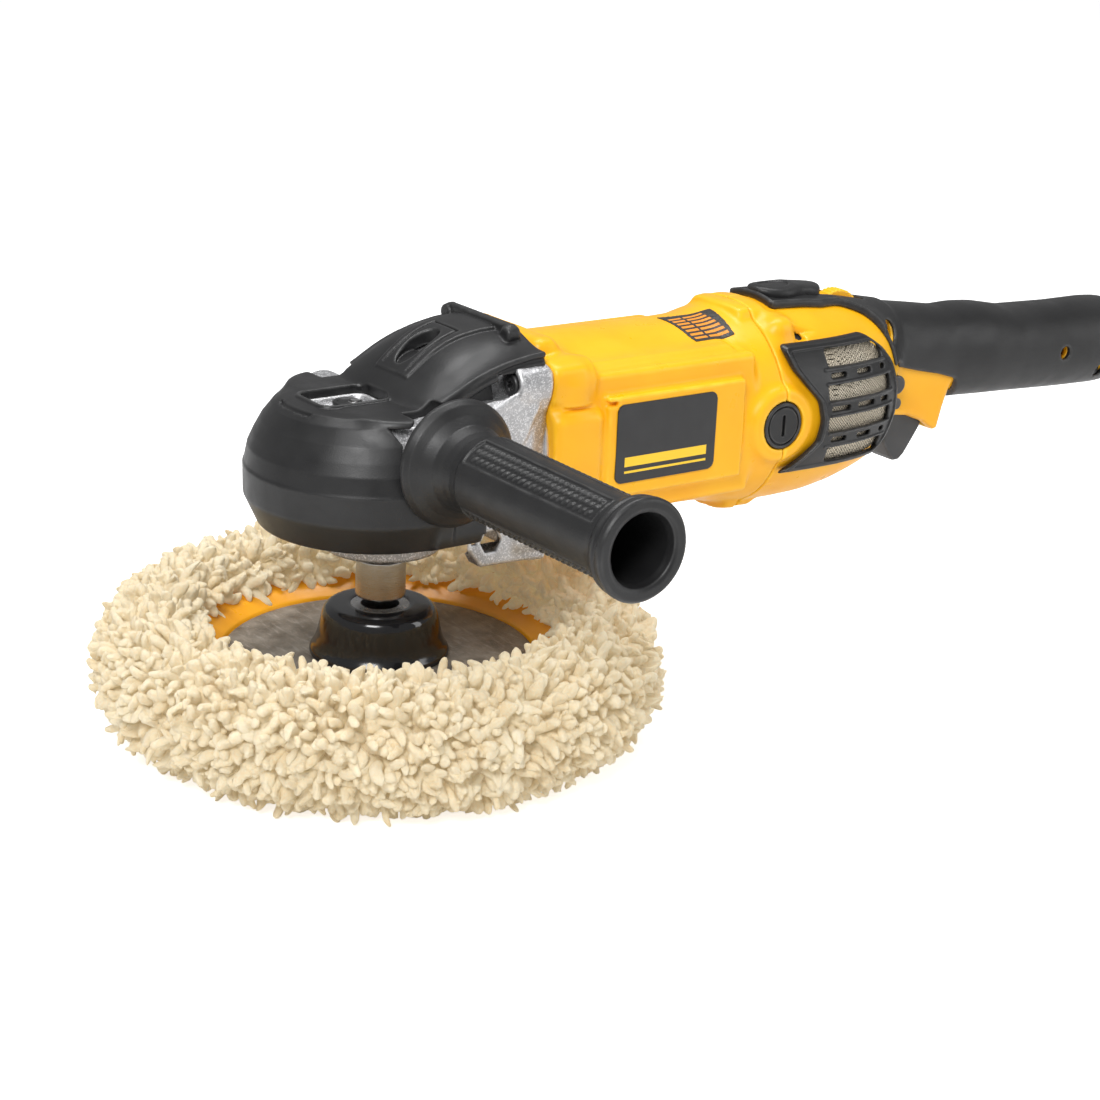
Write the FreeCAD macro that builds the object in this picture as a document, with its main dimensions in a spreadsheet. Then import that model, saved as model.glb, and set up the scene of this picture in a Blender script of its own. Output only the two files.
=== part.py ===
import FreeCAD, Part
import math
import os
import re
from FreeCAD import Placement, Rotation, Vector
from Sketcher import Constraint

# A corded rotary polisher: right-angle gear head, in-line universal motor, barrel handle.
# Frame: origin on the spindle's axis at the working face of the wool pad, +Z up the spindle,
# +X back along the motor towards the cord, side handle out along -Y.

os.makedirs("parts", exist_ok=True)
doc = FreeCAD.newDocument("RotaryPolisher")

# ---------------------------------------------------------------- driving dimensions, mm
SIZES = {
    # general fits and walls
    "gap": (0.3, "clearance between pieces that do not touch"),
    "fit": (0.02, "radial clearance of a bearing or a turning shaft"),
    "slip": (0.05, "radial clearance of a sliding or swinging piece"),
    "wall": (3, "wall of a moulded housing"),
    "teeth_on_pinion": (12, "teeth of either pinion"),
    "teeth_on_gear": (31, "teeth of either gear"),
    # wool pad and backing
    "pad_radius": (116, "outside of the wool pad"),
    "pad_face_radius": (88, "flat working face"),
    "pad_widest": (28, "height of the widest point"),
    "pad_top": (54.5, "top of the wool lip"),
    "pad_mouth": (73, "opening in the back of the pad"),
    "plate_radius": (90, "backing plate"),
    "plate_low": (20, "underside of the backing plate"),
    "plate_high": (28, "floor of the backing plate under the disc"),
    "plate_ring_top": (36, "top of the backing plate's raised ring"),
    "disc_radius": (64, "flat disc let into the backing plate"),
    "disc_top": (30, "top of that disc"),
    "hub_base": (28.5, "foot of the hub"),
    "hub_neck": (22.5, "top of the hub"),
    "hub_top": (51, "upper face of the hub"),
    "insert_radius": (12, "threaded insert in the hub"),
    # spindle
    "thread_radius": (7.9, "5/8 inch spindle thread"),
    "thread_low": (31.5, "lower end of the spindle"),
    "flat_turn": (12, "turn of the wrench flats about the spindle at rest, degrees"),
    "collar_radius": (11.5, "collar the hub is screwed against"),
    "collar_top": (53, "top of that collar"),
    "spindle_radius": (10.2, "spindle below the gear head"),
    "flat_half_width": (8.5, "half of 17 mm across the wrench flats"),
    "flat_low": (55, "bottom of the wrench flats"),
    "flat_high": (71, "top of the wrench flats"),
    "neck_bottom": (76, "lower end of the bearing retainer"),
    "seal_radius": (9.5, "spindle inside the retainer's neck"),
    "journal_low": (80, "shoulder under the lower bearing"),
    "journal_radius": (8.5, "spindle in the lower bearing"),
    "gear_seat_low": (104, "shoulder under the ring gear"),
    "gear_seat_radius": (8, "spindle in the ring gear"),
    "gear_seat_high": (124, "top of the ring gear's bore"),
    "top_journal_radius": (5, "spindle in the upper bearing"),
    "spindle_top": (131, "upper end of the spindle"),
    "lower_bearing_radius": (20, "outside of the lower bearing"),
    "lower_bearing_width": (12, "width of the lower bearing"),
    "upper_bearing_radius": (9.5, "outside of the upper bearing"),
    "upper_bearing_width": (6, "width of the upper bearing"),
    "spacer_radius": (11, "sleeve between lower bearing and ring gear"),
    "retainer_neck": (23.5, "neck of the retainer"),
    "retainer_flange": (35, "flange of the retainer"),
    "retainer_flange_low": (87.5, "underside of that flange"),
    "retainer_bolt_circle": (31.5, "radius of the retainer screws' circle"),
    # gear case
    "case_bottom": (91, "lower face of the gear case"),
    "case_crease": (100, "lower crease of the head"),
    "case_shoulder": (113, "height where the head starts to close in"),
    "case_top": (136.5, "roof of the head"),
    "head_centre": (-4, "middle of the round head, ahead of the spindle"),
    "head_radius": (47, "radius of the head"),
    "case_side": (46, "half width behind the head"),
    "case_rear": (53, "joint between gear case and motor housing"),
    "case_cavity": (28.5, "radius of the ring gear's chamber"),
    "case_cavity_top": (131.2, "roof of that chamber"),
    "lug_side": (33, "sideways place of the flange screws"),
    "lug_rise": (31, "height of the flange screws above and below the motor"),
    "lug_front": (40.5, "seat of the flange screws' heads"),
    "lug_radius": (7, "lugs round the flange screws"),
    "flange_front": (46, "front of the gear case's rear flange"),
    "flange_side": (41, "half width of that flange"),
    "flange_low": (73.5, "bottom of that flange"),
    "flange_high": (156, "top of that flange"),
    "handle_height": (124.4, "height of the side handle's axis"),
    "boss_radius": (16, "bosses the side handle screws into"),
    "boss_root": (32, "inner end of those bosses"),
    "boss_face": (50.6, "outer face of those bosses"),
    "handle_thread": (4, "M8 side handle thread"),
    "handle_thread_depth": (16, "depth of the threaded hole"),
    "window_centre": (-19, "middle of the lock button's window"),
    # rubber boot on the gear case
    "boot_wall": (5, "thickness of the boot at the nose"),
    "boot_bottom": (88, "lower lip of the boot"),
    "boot_top": (140, "top face of the boot over the head"),
    "hump_front": (4, "foot of the raised part of the boot"),
    "hump_rear": (52, "rear edge of the boot"),
    "hump_side": (25, "half width of the raised part"),
    "hump_top": (164, "top of the raised part"),
    # spindle lock
    "lock_x": (-13.5, "place of the lock pin"),
    "lock_pin_radius": (1.8, "lock pin"),
    "lock_pin_tip": (125.2, "tip of the lock pin at rest"),
    "lock_button_x": (-17, "middle of the lock button"),
    "lock_button_radius": (6.6, "lock button"),
    "lock_pocket_floor": (133.7, "floor of the button's pocket"),
    "lock_button_low": (138.2, "underside of the button"),
    "lock_button_high": (141, "top of the button"),
    "lock_hole_radius": (2.2, "holes the lock pin drops into"),
    # bevel stage
    "bevel_module": (1.7, "module of the bevel pair at its outer end"),
    "shaft_height": (136.5, "height of the intermediate shaft, and of the bevel apex"),
    "bevel_face": (0.334, "face width as a share of the cone distance"),
    "tooth_angle": (25, "pressure angle of both stages, degrees"),
    "backlash": (0.2, "play between meshing teeth"),
    # spur stage
    "spur_module": (1, "module of the spur pair"),
    "motor_height": (115, "height of the motor's axis"),
    "spur_front": (40, "front face of the spur gears"),
    "spur_rear": (49, "rear face of the spur gears"),
    "pinion_bore": (3, "shaft end inside the motor pinion"),
    "mid_journal": (5, "intermediate shaft in its front bearing"),
    "mid_tail": (3, "intermediate shaft in its rear bearing"),
    "mid_front_bearing": (30, "front face of the intermediate shaft's front bearing"),
    "mid_rear_bearing": (52, "front face of its rear bearing"),
    "mid_shaft_end": (57.5, "rear end of the intermediate shaft"),
    "shaft_bearing_radius": (13, "outside of the mid and motor front bearings"),
    "shaft_bearing_width": (8, "width of the three larger shaft bearings"),
    "mid_rear_radius": (9.5, "outside of the intermediate shaft's rear bearing"),
    "mid_rear_width": (5, "width of the intermediate shaft's rear bearing"),
    "motor_rear_radius": (11, "outside of the motor's rear bearing"),
    # motor
    "housing_end": (173, "seam between motor housing and rear housing"),
    "housing_radius": (41.5, "outside of the motor housing"),
    "housing_bore": (38, "inside of the motor housing"),
    "collar_end": (78, "rear end of the housing's square front collar"),
    "collar_side": (43, "half width of that collar"),
    "panel_front": (80, "front of the side panel"),
    "panel_rear": (150, "rear of the side panel"),
    "panel_low": (97, "bottom of the side panel"),
    "panel_high": (138, "top of the side panel"),
    "panel_side": (43.4, "face of the side panel"),
    "label_front": (83, "front of the side label"),
    "label_rear": (135.5, "rear of the side label"),
    "label_low": (101, "bottom of the side label"),
    "label_high": (134.5, "top of the side label"),
    "label_thick": (0.4, "thickness of the labels"),
    "plate_end": (60, "rear face of the bearing plate's flange"),
    "motor_front_bearing": (60, "front face of the motor's front bearing"),
    "motor_rear_bearing": (188, "front face of the motor's rear bearing"),
    "motor_shaft_radius": (5, "armature shaft"),
    "motor_tail_radius": (4, "armature shaft in the rear bearing"),
    "motor_shaft_end": (199, "rear end of the armature shaft"),
    "fan_front": (72, "front of the fan"),
    "fan_rear": (84, "rear of the fan"),
    "fan_radius": (34, "outside of the fan"),
    "core_front": (94, "front of the laminated cores"),
    "core_rear": (140, "rear of the laminated cores"),
    "core_radius": (23.5, "armature core"),
    "field_bore": (24.3, "bore of the field core"),
    "field_radius": (37.5, "outside of the field core"),
    "coil_front": (86.5, "front end of the field coils"),
    "coil_rear": (147.5, "rear end of the field coils"),
    "winding_front": (87, "front end of the armature windings"),
    "winding_rear": (147, "rear end of the armature windings"),
    "winding_radius": (20, "armature end windings"),
    "commutator_front": (160, "front of the commutator"),
    "commutator_rear": (183, "rear of the commutator"),
    "commutator_radius": (14, "commutator"),
    "brush_x": (171.7, "station of the carbon brushes"),
    "brush_width": (6.3, "carbon brush along the motor"),
    "brush_height": (11.8, "carbon brush across the motor"),
    "brush_face": (14.1, "contact face of the brush"),
    "brush_back": (30, "rear end of the brush"),
    "holder_face": (16.5, "inner end of the brush holder"),
    "holder_back": (38, "outer end of the brush holder"),
    "holder_wall": (1.3, "wall of the brush holder"),
    "cap_face": (44.8, "outer face of the brush cap"),
    "cap_radius": (10.1, "brush cap"),
    "cap_boss_radius": (15, "boss round the brush cap"),
    # rear housing and handle
    "grip_wall": (2.6, "soft layer over the handle"),
    "grip_front": (255, "front of the full soft layer"),
    "tongue_front": (186, "front of the soft tongue on top"),
    "tongue_side": (14, "half width of that tongue"),
    "tongue_proud": (1.6, "thickness of that tongue"),
    "knob_front": (187, "front of the raised pad on the tongue"),
    "knob_rear": (221, "rear of the raised pad on the tongue"),
    "knob_side": (10, "half width of the raised pad"),
    "knob_foot": (161.9, "underside of the raised pad"),
    "knob_top": (165.5, "top of the raised pad"),
    "shield_front": (176, "front of the intake shields"),
    "shield_rear": (244, "rear of the intake shields"),
    "shield_low": (93, "bottom of the intake shields"),
    "shield_high": (147, "top of the intake shields"),
    "shield_proud": (3.4, "how far the shields stand off the housing"),
    "mesh_thick": (0.8, "steel mesh under a shield"),
    # trigger group
    "trigger_x": (264.5, "trigger pivot, along the tool"),
    "trigger_z": (106.5, "trigger pivot, height"),
    "slot_front": (259.8, "front of the trigger's slot"),
    "slot_rear": (292.8, "rear of the trigger's slot"),
    "trigger_side": (9.8, "half width of the trigger"),
    "trigger_pin_radius": (1.5, "trigger pin"),
    "pin_head_radius": (2.6, "head of the trigger pin"),
    "pin_head_seat": (16.1, "reach of that head's inner face"),
    "block_side": (14.5, "half width of the trigger block"),
    "lock_on_x": (259.5, "middle of the lock-on button, along the tool"),
    "lock_on_z": (117, "middle of the lock-on button, height"),
    "lock_on_radius": (4.4, "lock-on button"),
    "lock_on_inner": (10.5, "inner end of the lock-on button"),
    "lock_on_outer": (23.2, "outer end of the lock-on button"),
    # speed dial
    "dial_x": (236, "dial axis, along the tool"),
    "dial_z": (146.5, "dial axis, height"),
    "dial_radius": (13, "speed dial"),
    "dial_half_width": (3.5, "half width of the speed dial"),
    "dial_pin_radius": (2, "stub the dial turns on"),
    # cord
    "cord_radius": (4, "power cord"),
    "cord_height": (118.5, "axis of the cord"),
    "cord_start": (385, "inner end of the cord"),
    "cord_end": (512, "cut end of the cord"),
    "protector_rear": (466, "rear end of the cord protector"),
    # side handle
    "side_rim": (51, "inner end of the side handle"),
    "side_end": (169, "outer end of the side handle"),
    "side_flange_radius": (25.2, "flange of the side handle"),
    "side_grip_radius": (16, "grip of the side handle"),
    "side_lip_radius": (19.1, "outer lip of the side handle"),
    "side_recess_radius": (13, "hollow in the outer end"),
    "side_recess_floor": (98, "bottom of that hollow"),
    "stud_radius": (5, "stud inside the grip"),
    "stud_end": (88, "outer end of the stud"),
}

# Round sections of the bell behind the seam, where the air goes in: place along the tool, radius.
BELL = {
    "seam": (173, 44.4),
    "bulb": (190, 45),
    "belly": (215, 44),
    "hip": (238, 41),
    "waist": (250, 34.5),
    "throat": (257, 27),
    "neck": (262, 19),
}
for station, (along, radius) in BELL.items():
    SIZES[station + "_along"] = (along, f"place of the bell's section at the {station}")
    SIZES[station + "_radius"] = (radius, f"radius of the bell at the {station}")

# Oval sections of the handle: place along the tool, half width, bottom, top.
STATIONS = {
    "bud": (244, 18.5, 100, 152.5),
    "root": (268, 18.5, 101, 150.4),
    "hollow": (300, 18.5, 102.5, 146.5),
    "swell": (325, 20, 101.3, 145.5),
    "palm": (345, 19.5, 100.5, 141.5),
    "heel": (380, 20, 98, 140),
    "butt": (410, 20.5, 97.5, 139.5),
    "tail": (420, 18.5, 99.5, 137.5),
}
for station, (along, side, low, high) in STATIONS.items():
    SIZES[station + "_along"] = (along, f"place of the section at the {station}")
    SIZES[station + "_side"] = (side, f"half width at the {station}")
    SIZES[station + "_low"] = (low, f"bottom at the {station}")
    SIZES[station + "_high"] = (high, f"top at the {station}")

sheet = doc.addObject("Spreadsheet::Sheet", "Sizes")
for row, (name, (value, meaning)) in enumerate(SIZES.items(), start=1):
    sheet.set(f"A{row}", meaning)
    sheet.set(f"B{row}", str(value))
    sheet.setAlias(f"B{row}", name)
doc.recompute()

TURNED = {
    "X": Rotation(Vector(0, 1, 0), 90),
    "-X": Rotation(Vector(0, 1, 0), -90),
    "Y": Rotation(Vector(1, 0, 0), -90),
    "-Y": Rotation(Vector(1, 0, 0), 90),
    "Z": Rotation(),
}
nodes = []


# ---------------------------------------------------------------- helpers
def size(name):
    """The number a cell of the sheet holds."""
    return float(sheet.get(name))


def expression(formula):
    """A formula over the sheet, with every size named in it pointed at its cell."""
    def cell(word):
        return "Sizes." + word.group() if word.group() in SIZES else word.group()
    return re.sub(r"[a-z][a-z_]*", cell, str(formula))


def bind(thing, prop, formula):
    thing.setExpression(prop, expression(formula))


def place(thing, at=(0, 0, 0), axis="Z"):
    """Put a piece's own origin at a place given by three formulas, its own Z along an axis."""
    thing.Placement = Placement(Vector(), TURNED[axis])
    for letter, formula in zip("xyz", at):
        bind(thing, f"Placement.Base.{letter}", formula)
    return thing


def cylinder(name, radius, length, at=(0, 0, 0), axis="Z"):
    piece = doc.addObject("Part::Cylinder", name)
    bind(piece, "Radius", radius)
    bind(piece, "Height", length)
    return place(piece, at, axis)


def box(name, low, high):
    piece = doc.addObject("Part::Box", name)
    for prop, start, stop in zip(("Length", "Width", "Height"), low, high):
        bind(piece, prop, f"({stop}) - ({start})")
    return place(piece, low)


def hex_prism(name, radius, length, at, axis):
    piece = doc.addObject("Part::Prism", name)
    piece.Polygon = 6
    bind(piece, "Circumradius", radius)
    bind(piece, "Height", length)
    return place(piece, at, axis)


def fuse(name, *pieces):
    piece = doc.addObject("Part::MultiFuse", name)
    piece.Shapes = list(pieces)
    return piece


def cut(name, base, *tools):
    piece = doc.addObject("Part::Cut", name)
    piece.Base = base
    piece.Tool = tools[0] if len(tools) == 1 else fuse(name + "_tools", *tools)
    return piece


def common(name, first, second):
    piece = doc.addObject("Part::MultiCommon", name)
    piece.Shapes = [first, second]
    return piece


def mirrored(name, source):
    """The same piece on the other side of the tool's middle plane."""
    piece = doc.addObject("Part::Mirroring", name)
    piece.Source = source
    piece.Normal = Vector(0, 1, 0)
    return piece


def group(name, *pieces):
    """Separate solids kept side by side in one node."""
    piece = doc.addObject("Part::Compound", name)
    piece.Links = list(pieces)
    return piece


def ellipse(name, major, minor, at, axis):
    piece = doc.addObject("Part::Ellipse", name)
    bind(piece, "MajorRadius", major)
    bind(piece, "MinorRadius", minor)
    return place(piece, at, axis)


def loft(name, sections, ruled=False):
    piece = doc.addObject("Part::Loft", name)
    piece.Sections = sections
    piece.Solid = True
    piece.Ruled = ruled
    return piece


def outline_sketch(body, name, plane, points):
    """A closed outline whose corners are held at the places their formulas give."""
    sketch = body.newObject("Sketcher::SketchObject", name)
    support = [f for f in body.Origin.OriginFeatures if f.Role == plane][0]
    sketch.AttachmentSupport = [(support, "")]
    sketch.MapMode = "FlatFace"
    count = len(points)
    turn = 2 * math.pi / count
    start = [Vector(math.cos(k * turn), math.sin(k * turn), 0) for k in range(count)]
    for k in range(count):
        sketch.addGeometry(Part.LineSegment(start[k], start[(k + 1) % count]))
    for k in range(count):
        sketch.addConstraint(Constraint("Coincident", k, 2, (k + 1) % count, 1))
    for k, (across, along) in enumerate(points):
        for kind, formula in (("DistanceX", across), ("DistanceY", along)):
            number = sketch.addConstraint(Constraint(kind, -1, 1, k, 1, 1.0))
            sketch.setExpression(f"Constraints[{number}]", expression(formula))
    return sketch


def turned(name, points, at=(0, 0, 0), axis="Z"):
    """A turned piece from its half section, as (radius, height along the axis) corners."""
    body = doc.addObject("PartDesign::Body", name)
    profile = outline_sketch(body, name + "_section", "XZ_Plane", points)
    turning = body.newObject("PartDesign::Revolution", name + "_turning")
    turning.Profile = profile
    turning.ReferenceAxis = (profile, ["V_Axis"])
    turning.Angle = 360
    return place(body, at, axis)


def tube(name, inner, outer, length, at=(0, 0, 0), axis="Z"):
    return turned(name, [(inner, 0), (outer, 0), (outer, length), (inner, length)], at, axis)


def side_plate(name, points, half_width):
    """A plate with an (x, z) outline, as wide to either side of y = 0."""
    body = doc.addObject("PartDesign::Body", name)
    profile = outline_sketch(body, name + "_section", "XZ_Plane", points)
    pad = body.newObject("PartDesign::Pad", name + "_pad")
    pad.Profile = profile
    pad.SideType = "Symmetric"
    bind(pad, "Length", f"2 * ({half_width})")
    return body


def pattern(body, feature, count):
    """Repeat a feature of a body round its own Z axis."""
    axis = [f for f in body.Origin.OriginFeatures if f.Role == "Z_Axis"][0]
    ring = body.newObject("PartDesign::PolarPattern", body.Name + "_pattern")
    ring.Originals = [feature]
    ring.Axis = (axis, [""])
    ring.Angle = 360
    ring.Occurrences = count
    body.Tip = ring


def coil_spring(name, radius, wire, length, turns, at, axis):
    """A coil spring of round wire, its length measured over the wire."""
    body = doc.addObject("PartDesign::Body", name)
    sketch = body.newObject("Sketcher::SketchObject", name + "_section")
    support = [f for f in body.Origin.OriginFeatures if f.Role == "XZ_Plane"][0]
    sketch.AttachmentSupport = [(support, "")]
    sketch.MapMode = "FlatFace"
    sketch.addGeometry(Part.Circle(Vector(2, 1, 0), Vector(0, 0, 1), 0.5))
    for kind, formula in (("Radius", wire), ("DistanceX", radius), ("DistanceY", wire)):
        if kind == "Radius":
            number = sketch.addConstraint(Constraint(kind, 0, 0.5))
        else:
            number = sketch.addConstraint(Constraint(kind, -1, 1, 0, 3, 1.0))
        sketch.setExpression(f"Constraints[{number}]", expression(formula))
    helix = body.newObject("PartDesign::AdditiveHelix", name + "_helix")
    helix.Profile = sketch
    helix.ReferenceAxis = (sketch, ["V_Axis"])
    helix.Mode = "pitch-height-angle"
    bind(helix, "Height", f"({length}) - 2 * ({wire})")
    bind(helix, "Pitch", f"(({length}) - 2 * ({wire})) / {turns}")
    return place(body, at, axis)


def ball_bearing(name, bore, rim, width, at, axis):
    """Two plain races and a ring of balls, each a separate solid; sizes are names of cells."""
    race = f"0.28 * ({rim} - {bore})"
    inner_race = tube(name + "_inner_race", f"{bore} + fit", f"{bore} + {race}", width, at, axis)
    outer_race = tube(name + "_outer_race", f"{rim} - {race}", rim, width, at, axis)
    ball = 0.22 * (size(rim) - size(bore)) - size("slip")
    pitch = (size(rim) + size(bore)) / 2
    count = int(math.pi * pitch / (1.35 * ball))
    balls = []
    for k in range(count):
        angle = 2 * math.pi * k / count
        centre = Vector(pitch * math.cos(angle), pitch * math.sin(angle), size(width) / 2)
        balls.append(Part.makeSphere(ball, centre))
    ring = doc.addObject("Part::Feature", name + "_balls")
    ring.Shape = Part.makeCompound(balls)
    place(ring, at, axis)
    return node(name, group(name + "_group", inner_race, outer_race, ring))


def node(label, piece):
    """Name a finished sub-part; its label is its file's name."""
    piece.Label = label
    nodes.append(piece)
    return piece


# ---------------------------------------------------------------- wool pad and backing
def build_pad():
    wool = turned("wool_section", [
        (0, 0),
        ("pad_face_radius", 0),
        ("pad_radius - 10", 6),
        ("pad_radius - 2", 17),
        ("pad_radius", "pad_widest"),
        ("pad_radius - 3", 40),
        ("pad_radius - 12", "pad_top - 5"),
        ("pad_radius - 26", "pad_top"),
        ("pad_mouth + 8", "pad_top - 1"),
        ("pad_mouth", "pad_top - 7"),
        ("pad_mouth", "plate_ring_top + gap"),
        ("plate_radius - 4", "plate_ring_top + 2 + 2 * gap"),
        ("plate_radius + gap", "plate_ring_top - 1 + gap"),
        ("plate_radius + gap", "plate_low + 7"),
        ("plate_radius - 8 + gap", "plate_low - gap"),
        (0, "plate_low - gap"),
    ])
    node("wool_pad", wool)
    plate = turned("plate_section", [
        (0, "plate_low"),
        ("plate_radius - 8", "plate_low"),
        ("plate_radius", "plate_low + 7"),
        ("plate_radius", "plate_ring_top - 1"),
        ("plate_radius - 4", "plate_ring_top + 2"),
        ("pad_mouth + 1", "plate_ring_top"),
        ("disc_radius + gap", "disc_top"),
        ("disc_radius + gap", "plate_high"),
        (0, "plate_high"),
    ])
    node("backing_plate", plate)
    disc = tube("disc_section", "thread_radius + gap", "disc_radius", "disc_top - plate_high",
                (0, 0, "plate_high"))
    node("backing_disc", disc)
    hub = turned("hub_section", [
        ("insert_radius", "disc_top"),
        ("hub_base", "disc_top"),
        ("hub_base", "disc_top + 2.5"),
        ("hub_base - 1.8", "disc_top + 5"),
        ("hub_neck + 0.6", "hub_top - 2"),
        ("hub_neck - 1.4", "hub_top"),
        ("insert_radius", "hub_top"),
    ])
    node("backing_hub", hub)
    insert = tube("insert_section", "thread_radius + fit", "insert_radius", "hub_top - disc_top",
                  (0, 0, "disc_top"))
    node("hub_insert", insert)


# ---------------------------------------------------------------- spindle and its bearings
def build_spindle():
    bar = turned("spindle_bar", [
        (0, "thread_low"),
        ("thread_radius", "thread_low"),
        ("thread_radius", "hub_top"),
        ("collar_radius", "hub_top"),
        ("collar_radius", "collar_top"),
        ("spindle_radius", "collar_top"),
        ("spindle_radius", "neck_bottom"),
        ("seal_radius", "neck_bottom"),
        ("seal_radius", "journal_low"),
        ("journal_radius", "journal_low"),
        ("journal_radius", "gear_seat_low"),
        ("gear_seat_radius", "gear_seat_low"),
        ("gear_seat_radius", "gear_seat_high"),
        ("top_journal_radius", "gear_seat_high"),
        ("top_journal_radius", "spindle_top"),
        (0, "spindle_top"),
    ])
    flats = []
    for side, low, high in (("left", "-collar_radius", "-flat_half_width"),
                            ("right", "flat_half_width", "collar_radius")):
        corner_low = (low, "-collar_radius", "flat_low")
        corner_high = (high, "collar_radius", "flat_high")
        flats.append(box("spindle_flat_" + side, corner_low, corner_high))
    spindle = cut("spindle_turned_and_milled", bar, *flats)
    bind(spindle, "Placement.Rotation.Angle", "flat_turn")
    node("spindle", spindle)
    ball_bearing("spindle_lower_bearing", "journal_radius", "lower_bearing_radius", "lower_bearing_width",
                 (0, 0, "journal_low"), "Z")
    ball_bearing("spindle_upper_bearing", "top_journal_radius", "upper_bearing_radius", "upper_bearing_width",
                 (0, 0, "spindle_top - upper_bearing_width"), "Z")
    spacer = tube("spacer_section", "journal_radius + fit", "spacer_radius",
                  "gear_seat_low - journal_low - lower_bearing_width - gap",
                  (0, 0, "journal_low + lower_bearing_width + gap"))
    node("spindle_spacer", spacer)


def bolt_place(k):
    """One of the four retainer screws, at 45 degrees and every quarter turn from there."""
    angle = 45 + 90 * k
    return f"retainer_bolt_circle * cos({angle})", f"retainer_bolt_circle * sin({angle})"


def build_retainer():
    ring = turned("retainer_section", [
        ("seal_radius + 1.5", "neck_bottom"),
        ("retainer_neck", "neck_bottom"),
        ("retainer_neck", "retainer_flange_low"),
        ("retainer_flange", "retainer_flange_low"),
        ("retainer_flange", "case_bottom"),
        ("lower_bearing_radius + fit", "case_bottom"),
        ("lower_bearing_radius + fit", "journal_low - gap"),
        ("seal_radius + 1.5", "journal_low - gap"),
    ])
    holes = []
    screws = []
    for k in range(4):
        across, back = bolt_place(k)
        holes.append(cylinder(f"retainer_hole_{k}", 2, 8, (across, back, "retainer_flange_low - 2")))
        screws.append(turned(f"retainer_screw_{k}", [
            (0, -2.4),
            (3.2, -2.4),
            (3.2, 0),
            (1.9, 0),
            (1.9, 10),
            (0, 10),
        ], (across, back, "retainer_flange_low")))
    node("spindle_bearing_retainer", cut("retainer_drilled", ring, *holes))
    node("retainer_screws", group("retainer_screw_set", *screws))


# ---------------------------------------------------------------- gears
def involute(angle):
    return math.tan(angle) - angle


def half_tooth(radius, pitch_radius, teeth, play):
    """Half the angle a tooth takes at a radius, for an involute on a base circle."""
    pressure = math.radians(size("tooth_angle"))
    base = pitch_radius * math.cos(pressure)
    here = math.acos(min(1, base / radius))
    return math.pi / (2 * teeth) - play / (2 * pitch_radius) + involute(pressure) - involute(here)


def spur_gear(name, teeth_cell, bore_cell, height_cell, first_tooth):
    """A spur gear on an axis along X; first_tooth is the angle of one tooth from +Z, in degrees."""
    teeth = int(size(teeth_cell))
    module = size("spur_module")
    pitch_radius = module * teeth / 2
    root = pitch_radius - 1.25 * module
    tip = pitch_radius + module
    base = pitch_radius * math.cos(math.radians(size("tooth_angle")))
    start = max(base, root)
    flank = [start + (tip - start) * k / 5 for k in range(6)]
    corners = []
    for tooth in range(teeth):
        centre = math.radians(first_tooth) + 2 * math.pi * tooth / teeth
        half = [half_tooth(radius, pitch_radius, teeth, size("backlash")) for radius in flank]
        side = [(root, half[0])] + list(zip(flank, half))
        corners += [(radius, centre - angle) for radius, angle in side]
        corners += [(radius, centre + angle) for radius, angle in reversed(side)]
    points = [Vector(0, radius * math.sin(angle), radius * math.cos(angle)) for radius, angle in corners]
    face = Part.Face(Part.makePolygon(points + points[:1]))
    width = size("spur_rear") - size("spur_front")
    blank = face.extrude(Vector(width, 0, 0))
    bore = Part.makeCylinder(size(bore_cell) + size("fit"), width, Vector(), Vector(1, 0, 0))
    gear = doc.addObject("Part::Feature", name + "_cut")
    gear.Shape = blank.cut(bore)
    place_straight(gear, ("spur_front", 0, height_cell))
    return node(name, gear)


def place_straight(thing, at):
    for letter, formula in zip("xyz", at):
        bind(thing, f"Placement.Base.{letter}", formula)


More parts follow.
